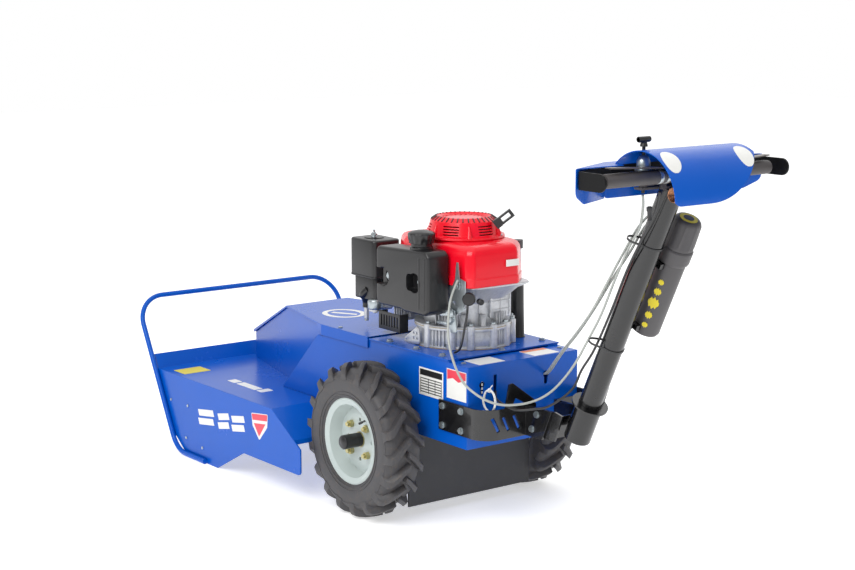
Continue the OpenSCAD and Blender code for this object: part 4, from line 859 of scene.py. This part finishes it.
def build_handle():
    build_shield()
    for side, word in ((1, "left"), (-1, "right")):
        sleeve = Shape().turn([(15.2, 80), (16.2, 82), (16.2, 250), (15.6, 258), (15.2, 259.6)], (GRIP_X, 0, GRIP_Z),
                              (0, side, 0), 40)
        sleeve.place("grip_sleeve_" + word, "grip_foam")
    dome = Shape().turn([(15, 976), (16, 980), (15, 996), (11, 1004), (6, 1008), (0, 1010)], (KNOB_X, KNOB_Y, 0),
                        steps=32)
    dome.turn([(19, 972), (19, 976)], (KNOB_X, KNOB_Y, 0), steps=6)
    dome.place("knob_bush", "zinc_plate")
    clamps = Shape()
    for y in (96, 74):
        clamps.turn([(16.6, -5), (16.6, 5)], (GRIP_X, y, GRIP_Z), (0, 1, 0), 32)
    clamps.place("bar_clamps", "zinc_plate", edge=0.6)
    knob = Shape().turn([(5, -17), (6.5, -15), (6.8, 0), (6.5, 15), (5, 17)], (KNOB_X, KNOB_Y, GRIP_Z + 81.4),
                        (0, 1, 0), 28)
    knob.turn([(9, 66), (8, 72), (5, 78)], (KNOB_X, KNOB_Y, GRIP_Z), steps=24)
    knob.rod((KNOB_X, KNOB_Y, GRIP_Z + 30), (KNOB_X, KNOB_Y, GRIP_Z + 80), 4)
    knob.place("knob_handle", "moulded_black", "throttle_knob")


CANISTER_R, CANISTER_TOP, CANISTER_STEPS = 34.3, 318, 96


def build_document_tube():
    tube = Shape().turn([(20, 0), (31, 3), (34, 10), (CANISTER_R, 200), (38, 205), (39.5, 210), (39.5, 238),
                         (37, 242)], TUBE_FOOT, MAST_AXIS, 56)
    tube.place("canister_tube", "grey_abs", replaces=["document_tube"], sharp=30)
    cap = Shape()
    u = MAST_AXIS.orthogonal().normalized()
    v = MAST_AXIS.cross(u)
    rings = []
    for r, h in ((36.5, 242.8), (36.5, 250), (35.5, 252), (33.5, 306), (32, 313), (28, 317), (24, CANISTER_TOP),
                 (1, CANISTER_TOP + 0.2)):
        ring = []
        for k in range(CANISTER_STEPS):
            a = 2 * pi * k / CANISTER_STEPS
            rib = 1.6 if 251 < h < 307 and k % 12 < 2 else 0
            ring.append(TUBE_FOOT + (u * cos(a) + v * sin(a)) * (r + rib) + MAST_AXIS * h)
        rings.append(ring)
    cap.skin(rings)
    cap.place("canister_cap", "grey_abs", "document_cap", replaces=["document_cap"], sharp=40)
    badge = Shape().turn([(22, CANISTER_TOP + 0.1), (22, CANISTER_TOP + 0.8), (0, CANISTER_TOP + 0.9)], TUBE_FOOT,
                         MAST_AXIS, 40)
    badge.place("canister_badge", "vinyl_yellow", "document_cap")
    marks, toward = Shape(), Vector((-0.62, 0.62, 0.48))
    side = (toward - MAST_AXIS * toward.dot(MAST_AXIS)).normalized()
    across = MAST_AXIS.cross(side)
    for h, r in ((34, 7), (62, 9), (96, 14), (128, 9), (154, 7)):
        rings = []
        for lift in (CANISTER_R, CANISTER_R + 0.7):
            ring = []
            for k in range(20):
                t = 2 * pi * k / 20
                a = r * cos(t) / 34.5
                ring.append(TUBE_FOOT + (side * cos(a) + across * sin(a)) * lift
                            + MAST_AXIS * (h + r * (1.2 if k % 2 else 0.7) * sin(t)))
            rings.append(ring)
        marks.skin(rings)
    marks.place("canister_marks", "vinyl_yellow", sharp=60)
    centre = Shape().turn([(13, CANISTER_TOP + 0.8), (13, CANISTER_TOP + 1.3), (0, CANISTER_TOP + 1.4)], TUBE_FOOT,
                          MAST_AXIS, 32)
    centre.place("canister_badge_centre", "vinyl_black", "document_cap")


# ---- labels ----
# the faces that the labels are sunk a little into, and how thick a label is
DECK_SIDE, DECK_TOP, HOOD_TOP, CHASSIS_SIDE, LID_TOP, REAR_FACE = 351.9, 234.9, 450.8, 181.9, 440.9, -325.7
FILM, THICK_FILM = 0.5, 0.6


def stick(name, look, outlines, base, rise, plane="xy", edge=0.0):
    """One label, or several of one colour, on the face at `base`."""
    shape = Shape()
    for outline in outlines:
        shape.prism(outline, base, base + rise, plane)
    shape.place(name, look, edge=edge)


def build_labels():
    """Plain coloured patches where the machine has labels; none of them carries lettering."""
    bars = []
    for x0, x1 in ((462, 536), (546, 612), (632, 724)):
        for drop in (0, 26):
            low = drop + 0.1 * (x0 - 462)
            bars.append([(x0, 166 - low), (x0 + 7, 184 - low), (x1, 172 - low), (x1 - 7, 154 - low)])
    stick("deck_stripes", "vinyl_white", bars, DECK_SIDE, THICK_FILM, "xz")
    stick("deck_patch", "vinyl_white", [rounded([(340, 214), (426, 203), (420, 168), (386, 132), (344, 176)], 5)],
          DECK_SIDE, FILM, "xz")
    stick("deck_patch_red", "vinyl_red", [rounded([(342, 212), (424, 201), (420, 184), (344, 194)], 3),
                                          [(352, 184), (413, 176), (387, 142)]], DECK_SIDE + 0.4, 0.4, "xz")
    hood = Shape()
    turns = [t * pi / 20 for t in range(40)]
    outer, inner = [[(414 + a * cos(t), 45 + b * sin(t)) for t in turns] for a, b in ((68, 60), (54, 44))]
    low, high = HOOD_TOP, HOOD_TOP + THICK_FILM
    hood.skin([level(outer, low), level(outer, high), level(inner, high), level(inner, low)], loop=True)
    hood.prism([(372, 30), (384, 20), (452, 56), (444, 70)], low, high)
    hood.place("hood_ring", "vinyl_white")
    for letter, x0, x1, y0 in (("a", 500, 530, 232), ("b", 538, 640, 244), ("c", 650, 690, 244)):
        stick("deck_mark_" + letter, "vinyl_white", [rounded(rectangle(x0, y0, x1, 272), 4)], DECK_TOP, THICK_FILM)
    stick("data_plate", "vinyl_white", [rectangle(-228, 338, -127, 410)], CHASSIS_SIDE, 0.9, "xz", edge=0.3)
    rows = [rectangle(-222, z, -133, z + 2.4) for z in range(346, 382, 7)]
    columns = [rectangle(x, 344, x + 2, 384) for x in (-222, -196, -168, -135)]
    stick("data_plate_head", "vinyl_black", [rectangle(-224, 390, -131, 406), *rows, *columns],
          CHASSIS_SIDE + 0.7, FILM, "xz")
    stick("side_patch", "vinyl_white", [rectangle(-322, 350, -243, 426)], CHASSIS_SIDE, THICK_FILM, "xz")
    stick("side_patch_red", "vinyl_red", [[(-320, 424), (-245, 424), (-245, 398), (-268, 404), (-290, 396),
                                           (-320, 406)]], CHASSIS_SIDE + 0.5, 0.4, "xz")
    for y, word in ((98, "left"), (-84, "right")):
        stick("lid_patch_" + word, "vinyl_white", [rounded(rectangle(-322, y - 42, -258, y + 42), 3)], LID_TOP, FILM)
    ticks = [rectangle(y, 348 + k * 10, y + 5, 354 + k * 10) for k in range(8) for y in (168, 132)]
    stick("scale_marks", "vinyl_white", ticks, REAR_FACE, 0.8, "yz")
    stick("lid_strip", "vinyl_orange", [rectangle(-276, -124, -260, -44)], LID_TOP + 0.4, FILM)
    stick("deck_sticker", "vinyl_yellow", [rounded(rectangle(838, 240, 906, 330), 3)], DECK_TOP, THICK_FILM)


# ---- CAD nodes that keep their shape ----
def dress_nodes():
    for look, names in KEPT_NODES.items():
        for name in names:
            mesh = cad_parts[name].data
            mesh.materials.clear()
            mesh.materials.append(FINISHES[look])


class MOWER_OT_stage(bpy.types.Operator):
    """Adds the camera, the floor and the soft lights"""
    bl_idname = "mower.stage"
    bl_label = "Stage"

    def execute(self, context):
        build_stage()
        return {"FINISHED"}


class MOWER_OT_cables(bpy.types.Operator):
    """Mixes the finishes and lays the control cables"""
    bl_idname = "mower.cables"
    bl_label = "Finishes and cables"

    def execute(self, context):
        mix_finishes(context.scene.mower_colours, context.scene.mower_sizes)
        build_cables(context.scene.mower_sizes)
        build_cable_fittings()
        return {"FINISHED"}


class MOWER_OT_metalwork(bpy.types.Operator):
    """Gives the pieces that keep their CAD shape their finishes"""
    bl_idname = "mower.metalwork"
    bl_label = "Metalwork"

    def execute(self, context):
        dress_nodes()
        return {"FINISHED"}


class MOWER_OT_wheels(bpy.types.Operator):
    """Builds the lugged tyres, valve stems and axle caps"""
    bl_idname = "mower.wheels"
    bl_label = "Wheels"

    def execute(self, context):
        build_wheels(context.scene.mower_sizes)
        return {"FINISHED"}


class MOWER_OT_engine(bpy.types.Operator):
    """Builds the engine's shroud, crankcase, tank and air cleaner"""
    bl_idname = "mower.engine"
    bl_label = "Engine"

    def execute(self, context):
        build_engine_covers()
        build_engine_block()
        build_fuel_tank()
        build_air_cleaner()
        return {"FINISHED"}


class MOWER_OT_handle(bpy.types.Operator):
    """Builds the shield, grips, throttle knob and document tube"""
    bl_idname = "mower.handle"
    bl_label = "Handle"

    def execute(self, context):
        build_handle()
        build_document_tube()
        return {"FINISHED"}


class MOWER_OT_labels(bpy.types.Operator):
    """Adds the plain label patches"""
    bl_idname = "mower.labels"
    bl_label = "Labels"

    def execute(self, context):
        build_labels()
        return {"FINISHED"}


STEPS = [MOWER_OT_stage, MOWER_OT_cables, MOWER_OT_metalwork, MOWER_OT_wheels, MOWER_OT_engine, MOWER_OT_handle,
         MOWER_OT_labels]


class MOWER_PT_panel(bpy.types.Panel):
    """Lists the steps that build the mower"""
    bl_idname = "MOWER_PT_panel"
    bl_label = "Brush mower"
    bl_space_type = "VIEW_3D"
    bl_region_type = "UI"
    bl_category = "Brush mower"

    def draw(self, context):
        for name in MowerColours.__annotations__:
            self.layout.prop(context.scene.mower_colours, name)
        for name in MowerSizes.__annotations__:
            self.layout.prop(context.scene.mower_sizes, name)
        for step in STEPS:
            self.layout.operator(step.bl_idname)


CLASSES = [MowerColours, MowerSizes, *STEPS, MOWER_PT_panel]


def register():
    for made in CLASSES:
        bpy.utils.register_class(made)
    bpy.types.Scene.mower_colours = bpy.props.PointerProperty(type=MowerColours)
    bpy.types.Scene.mower_sizes = bpy.props.PointerProperty(type=MowerSizes)


def unregister():
    del bpy.types.Scene.mower_colours
    del bpy.types.Scene.mower_sizes
    for made in reversed(CLASSES):
        bpy.utils.unregister_class(made)


def main():
    register()
    for step in STEPS:
        getattr(bpy.ops.mower, step.bl_idname.split(".")[1])()


if __name__ == "__main__":
    main()
